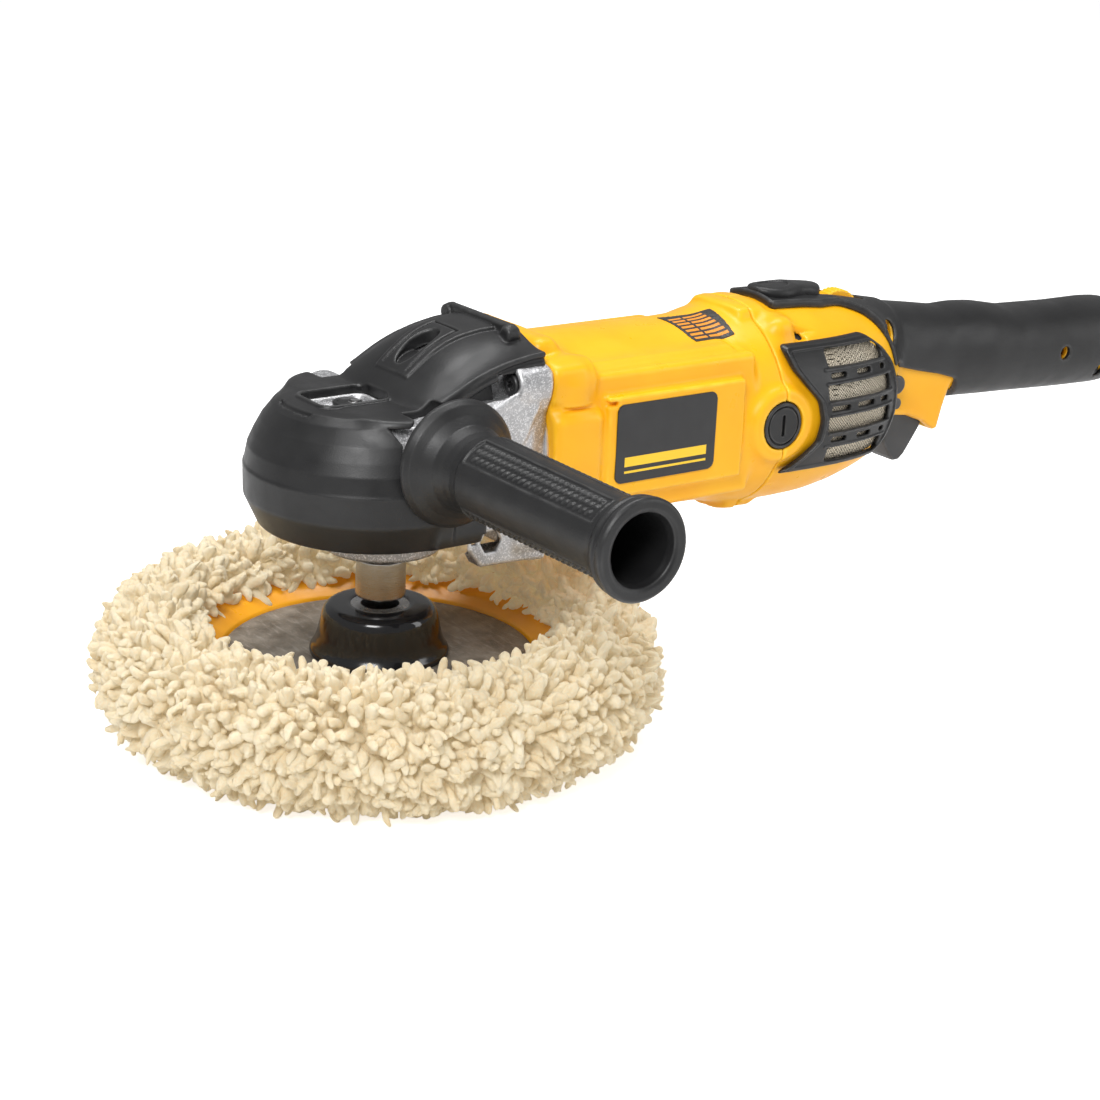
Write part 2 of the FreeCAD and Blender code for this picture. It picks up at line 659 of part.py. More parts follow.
class BevelCone:
    """The pitch cone of one gear of the bevel pair, its apex at the origin and its axis along +Z."""

    def __init__(self, teeth_cell, mate_cell):
        self.teeth = int(size(teeth_cell))
        self.module = size("bevel_module")
        self.angle = math.atan2(size(teeth_cell), size(mate_cell))
        self.pitch_radius = self.module * self.teeth / 2
        self.outer = self.pitch_radius / math.sin(self.angle)
        self.inner = self.outer * (1 - size("bevel_face"))

    def point(self, distance, height):
        """(radius, axial) at a distance from the apex and a height over the pitch cone at the outer end."""
        scale = distance / self.outer
        radial = distance * math.sin(self.angle) + height * scale * math.cos(self.angle)
        axial = distance * math.cos(self.angle) - height * scale * math.sin(self.angle)
        return radial, axial

    def tooth_space(self, turn):
        """The gap between two teeth as a solid that shrinks towards the apex."""
        virtual = self.pitch_radius / math.cos(self.angle)
        virtual_teeth = self.teeth / math.cos(self.angle)
        base = virtual * math.cos(math.radians(size("tooth_angle")))
        root = virtual - 1.25 * self.module
        top = virtual + 1.5 * self.module
        start = max(base, root)
        flank = [start + (top - start) * k / 6 for k in range(7)]
        half = [math.pi / virtual_teeth - half_tooth(radius, virtual, virtual_teeth, size("backlash"))
                for radius in flank]
        side = [(root, half[0])] + list(zip(flank, half)) if root < start else list(zip(flank, half))
        outline = [(radius, -angle) for radius, angle in side]
        outline += [(radius, angle) for radius, angle in reversed(side)]
        rays = []
        for radius, angle in outline:
            across = radius * math.cos(self.angle)
            along = self.outer * math.cos(self.angle) - (radius - virtual) * math.sin(self.angle)
            around = turn + angle / math.cos(self.angle)
            rays.append(Vector(across * math.cos(around), across * math.sin(around), along))
        middle = Vector(math.sin(self.angle) * math.cos(turn), math.sin(self.angle) * math.sin(turn),
                        math.cos(self.angle))
        ends = []
        for distance in (self.inner * 0.85, self.outer * 1.12):
            ring = [ray * (distance / ray.dot(middle)) for ray in rays]
            ends.append(Part.makePolygon(ring + ring[:1]))
        return Part.makeLoft(ends, True, True)

    def cut_teeth(self, blank, first_space):
        spaces = [self.tooth_space(first_space + 2 * math.pi * k / self.teeth) for k in range(self.teeth)]
        return blank.cut(spaces)


def revolved(points):
    corners = [Vector(radius, 0, along) for radius, along in points]
    face = Part.Face(Part.makePolygon(corners + corners[:1]))
    return face.revolve(Vector(), Vector(0, 0, 1), 360)


def build_ring_gear():
    """The large bevel gear, drawn with the apex at the origin and the hub along +Z, then turned over."""
    cone = BevelCone("teeth_on_gear", "teeth_on_pinion")
    apex = size("shaft_height")
    bore = size("gear_seat_radius") + size("fit")
    hub = size("spacer_radius")
    web_top = apex - size("gear_seat_high")
    web_low = web_top + 8
    deep = -(1.25 * cone.module + 2)
    blank = revolved([
        (bore, web_top),
        (cone.point(cone.inner, deep)[0] - 0.4, web_top),
        cone.point(cone.inner, deep * 0.9),
        cone.point(cone.inner, cone.module),
        cone.point(cone.outer, cone.module),
        cone.point(cone.outer, deep),
        (cone.point(cone.outer, deep)[0], web_low),
        (hub, web_low),
        (hub, apex - size("gear_seat_low")),
        (bore, apex - size("gear_seat_low")),
    ])
    wheel = cone.cut_teeth(blank, 0)
    holes = []
    for quarter in range(4):
        angle = math.pi / 2 * quarter
        centre = Vector(-size("lock_x") * math.cos(angle), size("lock_x") * math.sin(angle), web_top - 2)
        holes.append(Part.makeCylinder(size("lock_hole_radius"), 20, centre))
    gear = doc.addObject("Part::Feature", "ring_gear_cut")
    gear.Shape = wheel.cut(holes)
    gear.Placement = Placement(Vector(), Rotation(Vector(1, 0, 0), 180))
    place_straight(gear, (0, 0, "shaft_height"))
    node("ring_gear", gear)


def build_intermediate_shaft():
    """The shaft with its bevel pinion, drawn along +Z from the apex and turned to lie along +X."""
    cone = BevelCone("teeth_on_pinion", "teeth_on_gear")
    collar = size("mid_journal") + 2.2
    tip_in = cone.point(cone.inner, cone.module)
    back = cone.point(cone.outer, -1.25 * cone.module)
    blank = revolved([
        (0, tip_in[1] - 0.6),
        (tip_in[0] - 1, tip_in[1] - 0.6),
        tip_in,
        cone.point(cone.outer, cone.module),
        back,
        (collar, back[1] + 0.4),
        (collar, size("mid_front_bearing") - size("gap")),
        (size("mid_journal"), size("mid_front_bearing") - size("gap")),
        (size("mid_journal"), size("spur_rear") + size("gap")),
        (size("mid_tail"), size("spur_rear") + size("gap")),
        (size("mid_tail"), size("mid_shaft_end")),
        (0, size("mid_shaft_end")),
    ])
    shaft = doc.addObject("Part::Feature", "intermediate_shaft_cut")
    # the first space sits half a tooth away from -Z, so a tooth points down into the ring gear
    shaft.Shape = cone.cut_teeth(blank, math.pi / cone.teeth)
    shaft.Placement = Placement(Vector(), TURNED["X"])
    place_straight(shaft, (0, 0, "shaft_height"))
    node("intermediate_shaft", shaft)
    ball_bearing("intermediate_front_bearing", "mid_journal", "shaft_bearing_radius", "shaft_bearing_width",
                 ("mid_front_bearing", 0, "shaft_height"), "X")
    ball_bearing("intermediate_rear_bearing", "mid_tail", "mid_rear_radius", "mid_rear_width",
                 ("mid_rear_bearing", 0, "shaft_height"), "X")


def build_spur_gears():
    half_pitch = 180 / size("teeth_on_gear")
    spur_gear("intermediate_gear", "teeth_on_gear", "mid_journal", "shaft_height", 180 + half_pitch)
    spur_gear("motor_pinion", "teeth_on_pinion", "pinion_bore", "motor_height", 0)


# ---------------------------------------------------------------- gear case
def screw_places():
    """The four screws that hold the gear case to the motor housing."""
    for across, side in (("-lug_side", "left"), ("lug_side", "right")):
        for height, level in (("motor_height - lug_rise", "low"), ("motor_height + lug_rise", "high")):
            yield f"{side}_{level}", across, height


def round_head(name, radius, centre, levels):
    """A stack of cones; each level gives a height and how much it closes in from the full radius."""
    outline = [(0, levels[0][0])]
    outline += [(f"{radius} - {closing}", height) for height, closing in levels]
    outline += [(0, levels[-1][0])]
    return turned(name, outline, (centre, 0, 0))


def stadium(name, half_length, radius, low, high):
    """A slot-shaped post round the lock button, its long side along the tool."""
    reach = f"({half_length}) - ({radius})"
    ends = [cylinder(f"{name}_{side}", radius, f"({high}) - ({low})",
                     (f"window_centre {sign} ({reach})", 0, low))
            for side, sign in (("front", "-"), ("rear", "+"))]
    middle = box(name + "_middle", (f"window_centre - ({reach})", f"-({radius})", low),
                 (f"window_centre + ({reach})", radius, high))
    return fuse(name, middle, *ends)


CASE_LEVELS = [
    ("case_bottom", 4),
    ("case_crease", 0),
    ("case_shoulder", 0),
    ("case_shoulder + 12", 3),
    ("case_top", 8.5),
]


def case_envelope(name, grow):
    """Outside of the gear case, or the room the boot leaves for it."""
    head = round_head(name + "_head", f"head_radius + {grow}", "head_centre", CASE_LEVELS)
    hump = side_plate(name + "_hump", [
        (f"hump_front - 2 - {grow}", "case_top - 4"),
        (f"hump_front - {grow}", f"case_top + 4.5 + {grow}"),
        (f"hump_front + 6.5 - {grow}", f"hump_top - 13.5 + {grow}"),
        (f"hump_front + 12 - {grow}", f"hump_top - 10.5 + {grow}"),
        ("hump_front + 21", f"hump_top - 7 + {grow}"),
        ("hump_front + 32", f"hump_top - 5 + {grow}"),
        (f"flange_front + {grow}", f"hump_top - 4 + {grow}"),
        (f"flange_front + {grow}", "case_top - 4"),
    ], f"hump_side - 4 + {grow}")
    waist = box(name + "_waist", (15, f"-case_side + 6 - {grow}", "case_bottom"),
                (f"flange_front + {grow}", f"case_side - 6 + {grow}", f"case_top - 1 + {grow}"))
    bosses = [cylinder(f"{name}_boss_{side}", f"boss_radius + {grow}", "boss_face - boss_root",
                       (0, f"{sign} boss_root", "handle_height"), axis)
              for side, sign, axis in (("left", "-", "-Y"), ("right", "", "Y"))]
    return fuse(name, head, hump, waist, *bosses)


def build_gear_case():
    body = case_envelope("case_body", 0)
    flange = box("case_flange", ("flange_front", "-flange_side", "flange_low"),
                 ("case_rear", "flange_side", "flange_high"))
    arms = side_plate("case_arms", [
        (15, "case_bottom + 2"),
        (15, "flange_low + 9"),
        (22, "flange_low + 1"),
        ("case_rear", "flange_low"),
        ("case_rear", "case_bottom + 2"),
    ], "case_side - 6.5")
    rim = stadium("case_window_rim", 14, 10.5, "case_top - 1", "lock_button_high")
    bearing_boss = tube("case_bearing_boss", "upper_bearing_radius + fit", "upper_bearing_radius + 1.7",
                        "case_cavity_top - spindle_top + upper_bearing_width + 1",
                        (0, 0, "spindle_top - upper_bearing_width"))
    chamber = cylinder("case_chamber_whole", "case_cavity", "case_cavity_top - case_bottom + 1",
                       (0, 0, "case_bottom - 1"))
    solid = [body, flange, arms, rim]
    hollow = [
        cut("case_chamber", chamber, bearing_boss),
        cylinder("case_arm_gap", "retainer_flange + gap", "case_bottom - flange_low + 5",
                 (0, 0, "flange_low - 5")),
        cylinder("case_pinion_chamber", "shaft_bearing_radius + 0.2", "mid_front_bearing - 13.4",
                 (13.4, 0, "shaft_height"), "X"),
        cylinder("case_bearing_seat", "shaft_bearing_radius + fit", "shaft_bearing_width",
                 ("mid_front_bearing", 0, "shaft_height"), "X"),
        cylinder("case_spur_chamber", 17.6, "case_rear - mid_front_bearing - shaft_bearing_width + 1",
                 ("mid_front_bearing + shaft_bearing_width", 0, "shaft_height"), "X"),
        cylinder("case_motor_chamber", 9, "case_rear - spur_front + 2", ("spur_front - 1", 0, "motor_height"),
                 "X"),
        cylinder("case_lock_hole", "lock_pin_radius + slip", 12, ("lock_x", 0, "case_cavity_top - 2")),
        cylinder("case_lock_pocket", "lock_button_radius + slip", 12,
                 ("lock_button_x", 0, "lock_pocket_floor")),
        cylinder("case_left_thread", "handle_thread", "handle_thread_depth",
                 (0, "-boss_face", "handle_height"), "Y"),
        cylinder("case_right_thread", "handle_thread", "handle_thread_depth",
                 (0, "boss_face", "handle_height"), "-Y"),
        hex_prism("case_hex_pocket", 5, 7, (30, "-case_side + 6", 84), "Y"),
    ]
    for k in range(4):
        across, back = bolt_place(k)
        hollow.append(cylinder(f"case_retainer_hole_{k}", 1.95, 9, (across, back, "case_bottom - 1")))
    for place_name, across, height in screw_places():
        solid.append(cylinder("case_lug_" + place_name, "lug_radius", "case_rear - lug_front",
                              ("lug_front", across, height), "X"))
        hollow.append(cylinder("case_screw_hole_" + place_name, 2.4, "case_rear - lug_front + 8",
                               ("lug_front - 4", across, height), "X"))
        hollow.append(cylinder("case_head_room_" + place_name, 4.8, 28, ("lug_front - 28", across, height),
                               "X"))
    node("gear_case", cut("case_hollowed", fuse("case_solid", *solid), *hollow))

    screws = []
    for place_name, across, height in screw_places():
        shank = turned("case_screw_" + place_name, [
            (0, -3.6),
            (4.5, -3.6),
            (4.5, 0),
            (2.15, 0),
            (2.15, 28),
            (0, 28),
        ], ("lug_front", across, height), "X")
        socket = hex_prism("case_socket_" + place_name, 2.6, 2.2, ("lug_front - 3.8", across, height), "X")
        screws.append(cut("case_screw_socketed_" + place_name, shank, socket))
    node("gear_case_screws", group("case_screw_set", *screws))


def build_boot():
    """The thick rubber boot over the head and the raised cover of the intermediate gear."""
    head = round_head("boot_head", "head_radius + boot_wall - 1", "head_centre - 1", [
        ("boot_bottom", 6),
        ("case_crease", 0),
        ("case_shoulder - 1", 0),
        ("case_shoulder + 11.5", 3.5),
        ("boot_top - 4", 10),
        ("boot_top", 19),
    ])
    front = common("boot_front", head, box("boot_front_half", (-80, -80, "boot_bottom - 1"),
                                           (30, 80, "boot_top + 1")))
    hump = side_plate("boot_hump", [
        ("hump_front - 10", "case_top - 4"),
        ("hump_front - 5", "boot_top + 3"),
        ("hump_front + 10", "hump_top - 8.5"),
        ("hump_front + 21", "hump_top - 3.6"),
        ("hump_front + 31", "hump_top - 1.5"),
        ("hump_rear", "hump_top"),
        ("hump_rear", "hump_top - 11"),
        ("flange_front - 8", "case_top - 4"),
    ], "hump_side")
    room = case_envelope("boot_room", "gap")
    flange_room = box("boot_flange_room", ("flange_front - gap", "-flange_side - gap", "flange_low"),
                      (80, "flange_side + gap", "flange_high + gap"))
    openings = [
        room,
        flange_room,
        box("boot_arm_room", (13, -60, "flange_low"), (60, 60, "case_bottom + 3")),
        cylinder("boot_mouth", "retainer_flange + 2", 10, (0, 0, "boot_bottom - 5")),
        stadium("boot_window", "14 + gap", "10.5 + gap", "case_top - 2", "boot_top + 4"),
    ]
    for side, low, high in (("left", -70, "-case_side + 6"), ("right", "case_side - 6", 70)):
        openings.append(box("boot_notch_" + side, (-20, low, "handle_height - 18"),
                            (40, high, "boot_top + 2")))
    for place_name, across, height in screw_places():
        openings.append(cylinder("boot_screw_room_" + place_name, "lug_radius + gap", 30,
                                 ("lug_front - 14", across, height), "X"))
    node("gear_case_boot", cut("boot_opened", fuse("boot_solid", front, hump), *openings))


# ---------------------------------------------------------------- spindle lock
def build_lock():
    button = cylinder("lock_button_cap", "lock_button_radius", "lock_button_high - lock_button_low",
                      ("lock_button_x", 0, "lock_button_low"))
    groove = box("lock_button_groove", ("lock_button_x - 0.8", "-lock_button_radius + 2",
                                        "lock_button_high - 0.8"),
                 ("lock_button_x + 0.8", "lock_button_radius - 2", "lock_button_high + 1"))
    node("lock_button", cut("lock_button_grooved", button, groove))
    pin = turned("lock_pin_section", [
        (0, "lock_pin_tip"),
        ("lock_pin_radius - 0.5", "lock_pin_tip"),
        ("lock_pin_radius", "lock_pin_tip + 0.8"),
        ("lock_pin_radius", "lock_button_low"),
        (0, "lock_button_low"),
    ], ("lock_x", 0, 0))
    node("lock_pin", pin)
    spring = coil_spring("lock_spring_coil", "lock_pin_radius + 0.9", 0.3,
                         "lock_button_low - lock_pocket_floor - slip", 4,
                         ("lock_x", 0, "lock_pocket_floor + slip / 2"), "Z")
    node("lock_spring", spring)


# ---------------------------------------------------------------- motor
def build_bearing_plate():
    plate = turned("bearing_plate_section", [
        ("motor_shaft_radius + 1", "case_rear"),
        ("housing_bore - slip", "case_rear"),
        ("housing_bore - slip", "plate_end"),
        ("shaft_bearing_radius + 4", "plate_end"),
        ("shaft_bearing_radius + 4", "motor_front_bearing + shaft_bearing_width + 2"),
        ("shaft_bearing_radius + fit", "motor_front_bearing + shaft_bearing_width + 2"),
        ("shaft_bearing_radius + fit", "motor_front_bearing - gap"),
        ("motor_shaft_radius + 1", "motor_front_bearing - gap"),
    ], (0, 0, "motor_height"), "X")
    pocket = cylinder("plate_bearing_pocket", "mid_rear_radius + fit", 7,
                      ("mid_rear_bearing - 1", 0, "shaft_height"), "X")
    node("bearing_plate", cut("bearing_plate_bored", plate, pocket))
    ball_bearing("motor_front_bearing", "motor_shaft_radius", "shaft_bearing_radius", "shaft_bearing_width",
                 ("motor_front_bearing", 0, "motor_height"), "X")
    ball_bearing("motor_rear_bearing", "motor_tail_radius", "motor_rear_radius", "shaft_bearing_width",
                 ("motor_rear_bearing", 0, "motor_height"), "X")


def build_armature():
    shaft = turned("armature_shaft_section", [
        (0, "spur_front"),
        ("pinion_bore", "spur_front"),
        ("pinion_bore", "spur_rear + gap"),
        ("motor_shaft_radius", "case_rear"),
        ("motor_shaft_radius", "motor_rear_bearing - gap"),
        ("motor_tail_radius", "motor_rear_bearing - gap"),
        ("motor_tail_radius", "motor_shaft_end"),
        (0, "motor_shaft_end"),
    ], (0, 0, "motor_height"), "X")
    node("armature_shaft", shaft)

    core = tube("armature_core_stack", "motor_shaft_radius + fit", "core_radius", "core_rear - core_front",
                ("core_front", 0, "motor_height"), "X")
    slot = slot_in(core, "armature_slot", 1.2, "core_radius - 9", "core_radius + 1", "core_rear - core_front")
    pattern(core, slot, 12)
    node("armature_core", core)

    ends = []
    for name, front, rear in (("front", "winding_front", "core_front"),
                              ("rear", "core_rear", "winding_rear")):
        ends.append(turned("winding_" + name, [
            ("motor_shaft_radius + 1", f"{front}"),
            ("winding_radius - 2", f"{front}"),
            ("winding_radius", f"({front} + {rear}) / 2"),
            ("winding_radius - 1", f"{rear}"),
            ("motor_shaft_radius + 1", f"{rear}"),
        ], (0, 0, "motor_height"), "X"))
    node("armature_windings", group("winding_pair", *ends))

    copper = tube("commutator_drum", "motor_shaft_radius + fit", "commutator_radius",
                  "commutator_rear - commutator_front", ("commutator_front", 0, "motor_height"), "X")
    gap_between_bars = slot_in(copper, "commutator_gap", 0.3, "commutator_radius - 1.2",
                               "commutator_radius + 1",
                               "commutator_rear - commutator_front")
    pattern(copper, gap_between_bars, 24)
    node("commutator", copper)

    fan = turned("fan_disc", [
        ("motor_shaft_radius + fit", "fan_front"),
        ("motor_shaft_radius + 5", "fan_front"),
        ("motor_shaft_radius + 8", "fan_rear - 3"),
        ("fan_radius", "fan_rear - 2"),
        ("fan_radius", "fan_rear"),
        ("motor_shaft_radius + fit", "fan_rear"),
    ], (0, 0, "motor_height"), "X")
    blades = []
    for k in range(14):
        blades.append(fan_blade(k, 360 / 14 * k))
    node("cooling_fan", fuse("fan_bladed", fan, *blades))


def slot_in(body, name, width, low, high, length):
    """A straight groove along a turned body, at its own +X side, deep enough to reach from low to high."""
    profile = outline_sketch(body, name + "_section", "XY_Plane", [
        (low, f"-({width}) / 2"),
        (high, f"-({width}) / 2"),
        (high, f"({width}) / 2"),
        (low, f"({width}) / 2"),
    ])
    groove = body.newObject("PartDesign::Pocket", name)
    groove.Profile = profile
    groove.Reversed = True
    bind(groove, "Length", length)
    return groove


def fan_blade(k, angle):
    """One straight radial blade in front of the fan's disc."""
    blade = doc.addObject("Part::Box", f"fan_blade_{k}")
    bind(blade, "Length", "fan_rear - fan_front - 4")
    bind(blade, "Width", 1.4)
    bind(blade, "Height", "fan_radius - motor_shaft_radius - 8")
    direction = Rotation(Vector(1, 0, 0), angle)
    blade.Placement = Placement(Vector(), direction)
    bind(blade, "Placement.Base.x", "fan_front + 2")
    bind(blade, "Placement.Base.y", f"-(motor_shaft_radius + 7) * sin({angle})")
    bind(blade, "Placement.Base.z", f"motor_height + (motor_shaft_radius + 7) * cos({angle})")
    return blade


def sector(name, inner, outer, start_x, end_x, first_angle, sweep):
    """Part of a ring round the motor's axis, its angles counted from -Z towards +Y."""
    whole = cylinder(name + "_outer", outer, f"({end_x}) - ({start_x})", (start_x, 0, "motor_height"), "X")
    whole.Placement = Placement(whole.Placement.Base, Rotation(Vector(1, 0, 0), first_angle) * TURNED["X"])
    bind(whole, "Angle", sweep)
    core = cylinder(name + "_inner", inner, f"({end_x}) - ({start_x}) + 2",
                    (f"({start_x}) - 1", 0, "motor_height"), "X")
    return cut(name, whole, core)


def build_field():
    core = tube("field_ring", "field_bore", "field_radius", "core_rear - core_front",
                ("core_front", 0, "motor_height"), "X")
    slots = []
    coils = []
    for pole, centre in (("upper", 180), ("lower", 0)):
        pieces = []
        for end, front, rear in (("front", "coil_front", "core_front - gap"),
                                 ("rear", "core_rear + gap", "coil_rear")):
            pieces.append(sector(f"coil_{pole}_{end}", "field_bore + 1", "field_bore + 9", front, rear,
                                 centre - 60, 120))
        for leg, turn in (("a", -60), ("b", 46)):
            pieces.append(sector(f"coil_{pole}_{leg}", "field_bore + 1", "field_bore + 8", "coil_front",
                                 "coil_rear",
                                 centre + turn, 14))
            slots.append(sector(f"field_slot_{pole}_{leg}", "field_bore - 1", "field_bore + 8 + gap",
                                "core_front - 1", "core_rear + 1", centre + turn - 1, 16))
        coils.append(fuse(f"coil_{pole}", *pieces))
    node("field_core", cut("field_core_slotted", core, *slots))
    node("field_coils", group("coil_pair", *coils))


def build_brush_side(side, axis, near, far):
    """One side's brush, holder, spring and cap; near and far turn a reach from the axis into low and high y."""
    x_low = "brush_x - brush_width / 2"
    x_high = "brush_x + brush_width / 2"
    z_low = "motor_height - brush_height / 2"
    z_high = "motor_height + brush_height / 2"
    brush = box("brush_block_" + side, (x_low, near("brush_face", "brush_back"), z_low),
                (x_high, far("brush_face", "brush_back"), z_high))
    outer = box("holder_block_" + side,
                (f"{x_low} - holder_wall", near("holder_face", "holder_back"), f"{z_low} - holder_wall"),
                (f"{x_high} + holder_wall", far("holder_face", "holder_back"), f"{z_high} + holder_wall"))
    inner = box("holder_channel_" + side,
                (f"{x_low} - slip", near("holder_face - 1", "holder_back + 1"), f"{z_low} - slip"),
                (f"{x_high} + slip", far("holder_face - 1", "holder_back + 1"), f"{z_high} + slip"))
    holder = cut("holder_tube_" + side, outer, inner)
    spring = coil_spring("brush_spring_coil_" + side, 2.4, 0.35, "holder_back - brush_back - gap", 6,
                         ("brush_x", near("brush_back + slip", "brush_back + slip"), "motor_height"), axis)
    cap = turned("brush_cap_section_" + side, [
        (0, "holder_back + gap"),
        ("cap_radius", "holder_back + gap"),
        ("cap_radius", "cap_face - 0.8"),
        ("cap_radius - 0.8", "cap_face"),
        (0, "cap_face"),
    ], ("brush_x", 0, "motor_height"), axis)
    slot = box("cap_slot_" + side, ("brush_x - 0.7", near("cap_face - 1.6", "cap_face + 1"),
                                    "motor_height - 5"),
               ("brush_x + 0.7", far("cap_face - 1.6", "cap_face + 1"), "motor_height + 5"))
    return brush, holder, spring, cut("brush_cap_slotted_" + side, cap, slot)


def build_brushes():
    left = build_brush_side("left", "-Y", lambda a, b: f"-({b})", lambda a, b: f"-({a})")
    right = build_brush_side("right", "Y", lambda a, b: a, lambda a, b: b)
    for name, pair in zip(("carbon_brushes", "brush_holders", "brush_springs", "brush_caps"),
                          zip(left, right)):
        node(name, group(name + "_pair", *pair))


def build_rear_bracket():
    """A hub for the rear bearing, held to the housing by four arms."""
    rim = tube("bracket_rim", "housing_bore", "housing_bore + 3", "motor_shaft_end - motor_rear_bearing + 2",
               ("motor_rear_bearing - 3", 0, "motor_height"), "X")
    hub = turned("bracket_hub", [
        ("motor_rear_radius + fit", "motor_rear_bearing - 2"),
        ("motor_rear_radius + 3.5", "motor_rear_bearing - 2"),
        ("motor_rear_radius + 3.5", "motor_shaft_end + 3"),
        (0, "motor_shaft_end + 3"),
        (0, "motor_shaft_end + gap"),
        ("motor_tail_radius + 1", "motor_shaft_end + gap"),
        ("motor_tail_radius + 1", "motor_rear_bearing + shaft_bearing_width + gap"),
        ("motor_rear_radius + fit", "motor_rear_bearing + shaft_bearing_width + gap"),
    ], (0, 0, "motor_height"), "X")
    arms = []
    for name, low, high in (
            ("low", "-housing_bore - 1", "-motor_rear_radius - 2"),
            ("high", "motor_rear_radius + 2", "housing_bore + 1")):
        arms.append(box("bracket_arm_z_" + name, ("motor_rear_bearing", -2.5, f"motor_height + {low}"),
                        ("motor_rear_bearing + 6", 2.5, f"motor_height + {high}")))
        arms.append(box("bracket_arm_y_" + name, ("motor_rear_bearing", low, "motor_height - 2.5"),
                        ("motor_rear_bearing + 6", high, "motor_height + 2.5")))
    node("rear_bearing_bracket", fuse("bracket", rim, hub, *arms))


# ---------------------------------------------------------------- motor housing
def brush_cap_cylinder(name, radius, start, stop, side):
    """A cylinder on a brush cap's axis, from one reach to another."""
    axis, sign = ("-Y", "-") if side == "left" else ("Y", "")
    return cylinder(name, radius, f"({stop}) - ({start})", ("brush_x", f"{sign}({start})", "motor_height"),
                    axis)


def build_motor_housing():
    barrel = cylinder("housing_barrel", "housing_radius", "housing_end - case_rear",
                      ("case_rear", 0, "motor_height"), "X")
    collar = box("housing_collar", ("case_rear", "-collar_side", "flange_low"),
                 ("collar_end", "collar_side", "flange_high"))
    solid = [barrel, collar]
    hollow = [cylinder("housing_hollow", "housing_bore", "housing_end - case_rear + 2",
                       ("case_rear - 1", 0, "motor_height"), "X")]
    for place_name, across, height in screw_places():
        solid.append(cylinder("housing_boss_" + place_name, "lug_radius + 0.6", "collar_end - case_rear",
                              ("case_rear", across, height), "X"))
        hollow.append(cylinder("housing_screw_hole_" + place_name, 2.2, 18, ("case_rear - 1", across, height),
                               "X"))
    for side in ("left", "right"):
        solid.append(brush_cap_cylinder("housing_cap_boss_" + side, "cap_boss_radius", "housing_bore - 4",
                                        "cap_face - 0.8", side))
        hollow.append(brush_cap_cylinder("housing_cap_hole_" + side, "cap_radius + gap", "housing_bore - 8",
                                         "cap_face + 5", side))
    panel = box("housing_panels", ("panel_front", "-panel_side", "panel_low"),
                ("panel_rear", "panel_side", "panel_high"))
    beyond_seam = box("housing_beyond_seam", ("housing_end", -80, 0), ("housing_end + 40", 80, 200))
    node("motor_housing", cut("motor_housing_bored", fuse("housing_solid", panel, *solid), *hollow,
                              beyond_seam))


def build_labels():
    """A blank label on each side panel and a curved one on top of the barrel."""
    labels = []
    for side, low, high in (
            ("left", "-panel_side - label_thick", "-panel_side"),
            ("right", "panel_side", "panel_side + label_thick")):
        labels.append(box("label_blank_" + side, ("label_front", low, "label_low"),
                          ("label_rear", high, "label_high")))
    skin = tube("rating_skin", "housing_radius", "housing_radius + label_thick", 34, (122, 0, "motor_height"),
                "X")
    patch = box("rating_patch", (120, -28, "motor_height"), (160, -3, "motor_height + 60"))
    labels.append(common("rating_label_curved", skin, patch))
    node("labels", group("label_set", *labels))


# ---------------------------------------------------------------- rear housing and handle
def bell(name, grow):
    """The round rear part of the motor's housing, grown or shrunk all round."""
    outline = [(0, "seam_along")]
    outline += [(f"{station}_radius + {grow}", f"{station}_along") for station in BELL]
    outline += [(0, "neck_along")]
    return turned(name, outline, (0, 0, "motor_height"), "X")


def handle_loft(name, grow):
    """The handle's oval barrel, grown or shrunk all round."""
    rings = []
    for station in STATIONS:
        half_height = f"({station}_high - {station}_low) / 2 + {grow}"
        rings.append(ellipse(f"{name}_{station}", half_height, f"{station}_side + {grow}",
                             (f"{station}_along", 0, f"({station}_high + {station}_low) / 2"), "-X"))
    return loft(name, rings, ruled=True)


def rear_body(name, grow, handle_grow):
    """The bell running into the handle; the two can grow by different amounts."""
    return fuse(name, bell(name + "_bell", grow), handle_loft(name + "_handle", handle_grow))


HANDLE_SCREWS = {"front": (254.5, 142), "middle": (372, 119), "rear": (400, 107)}


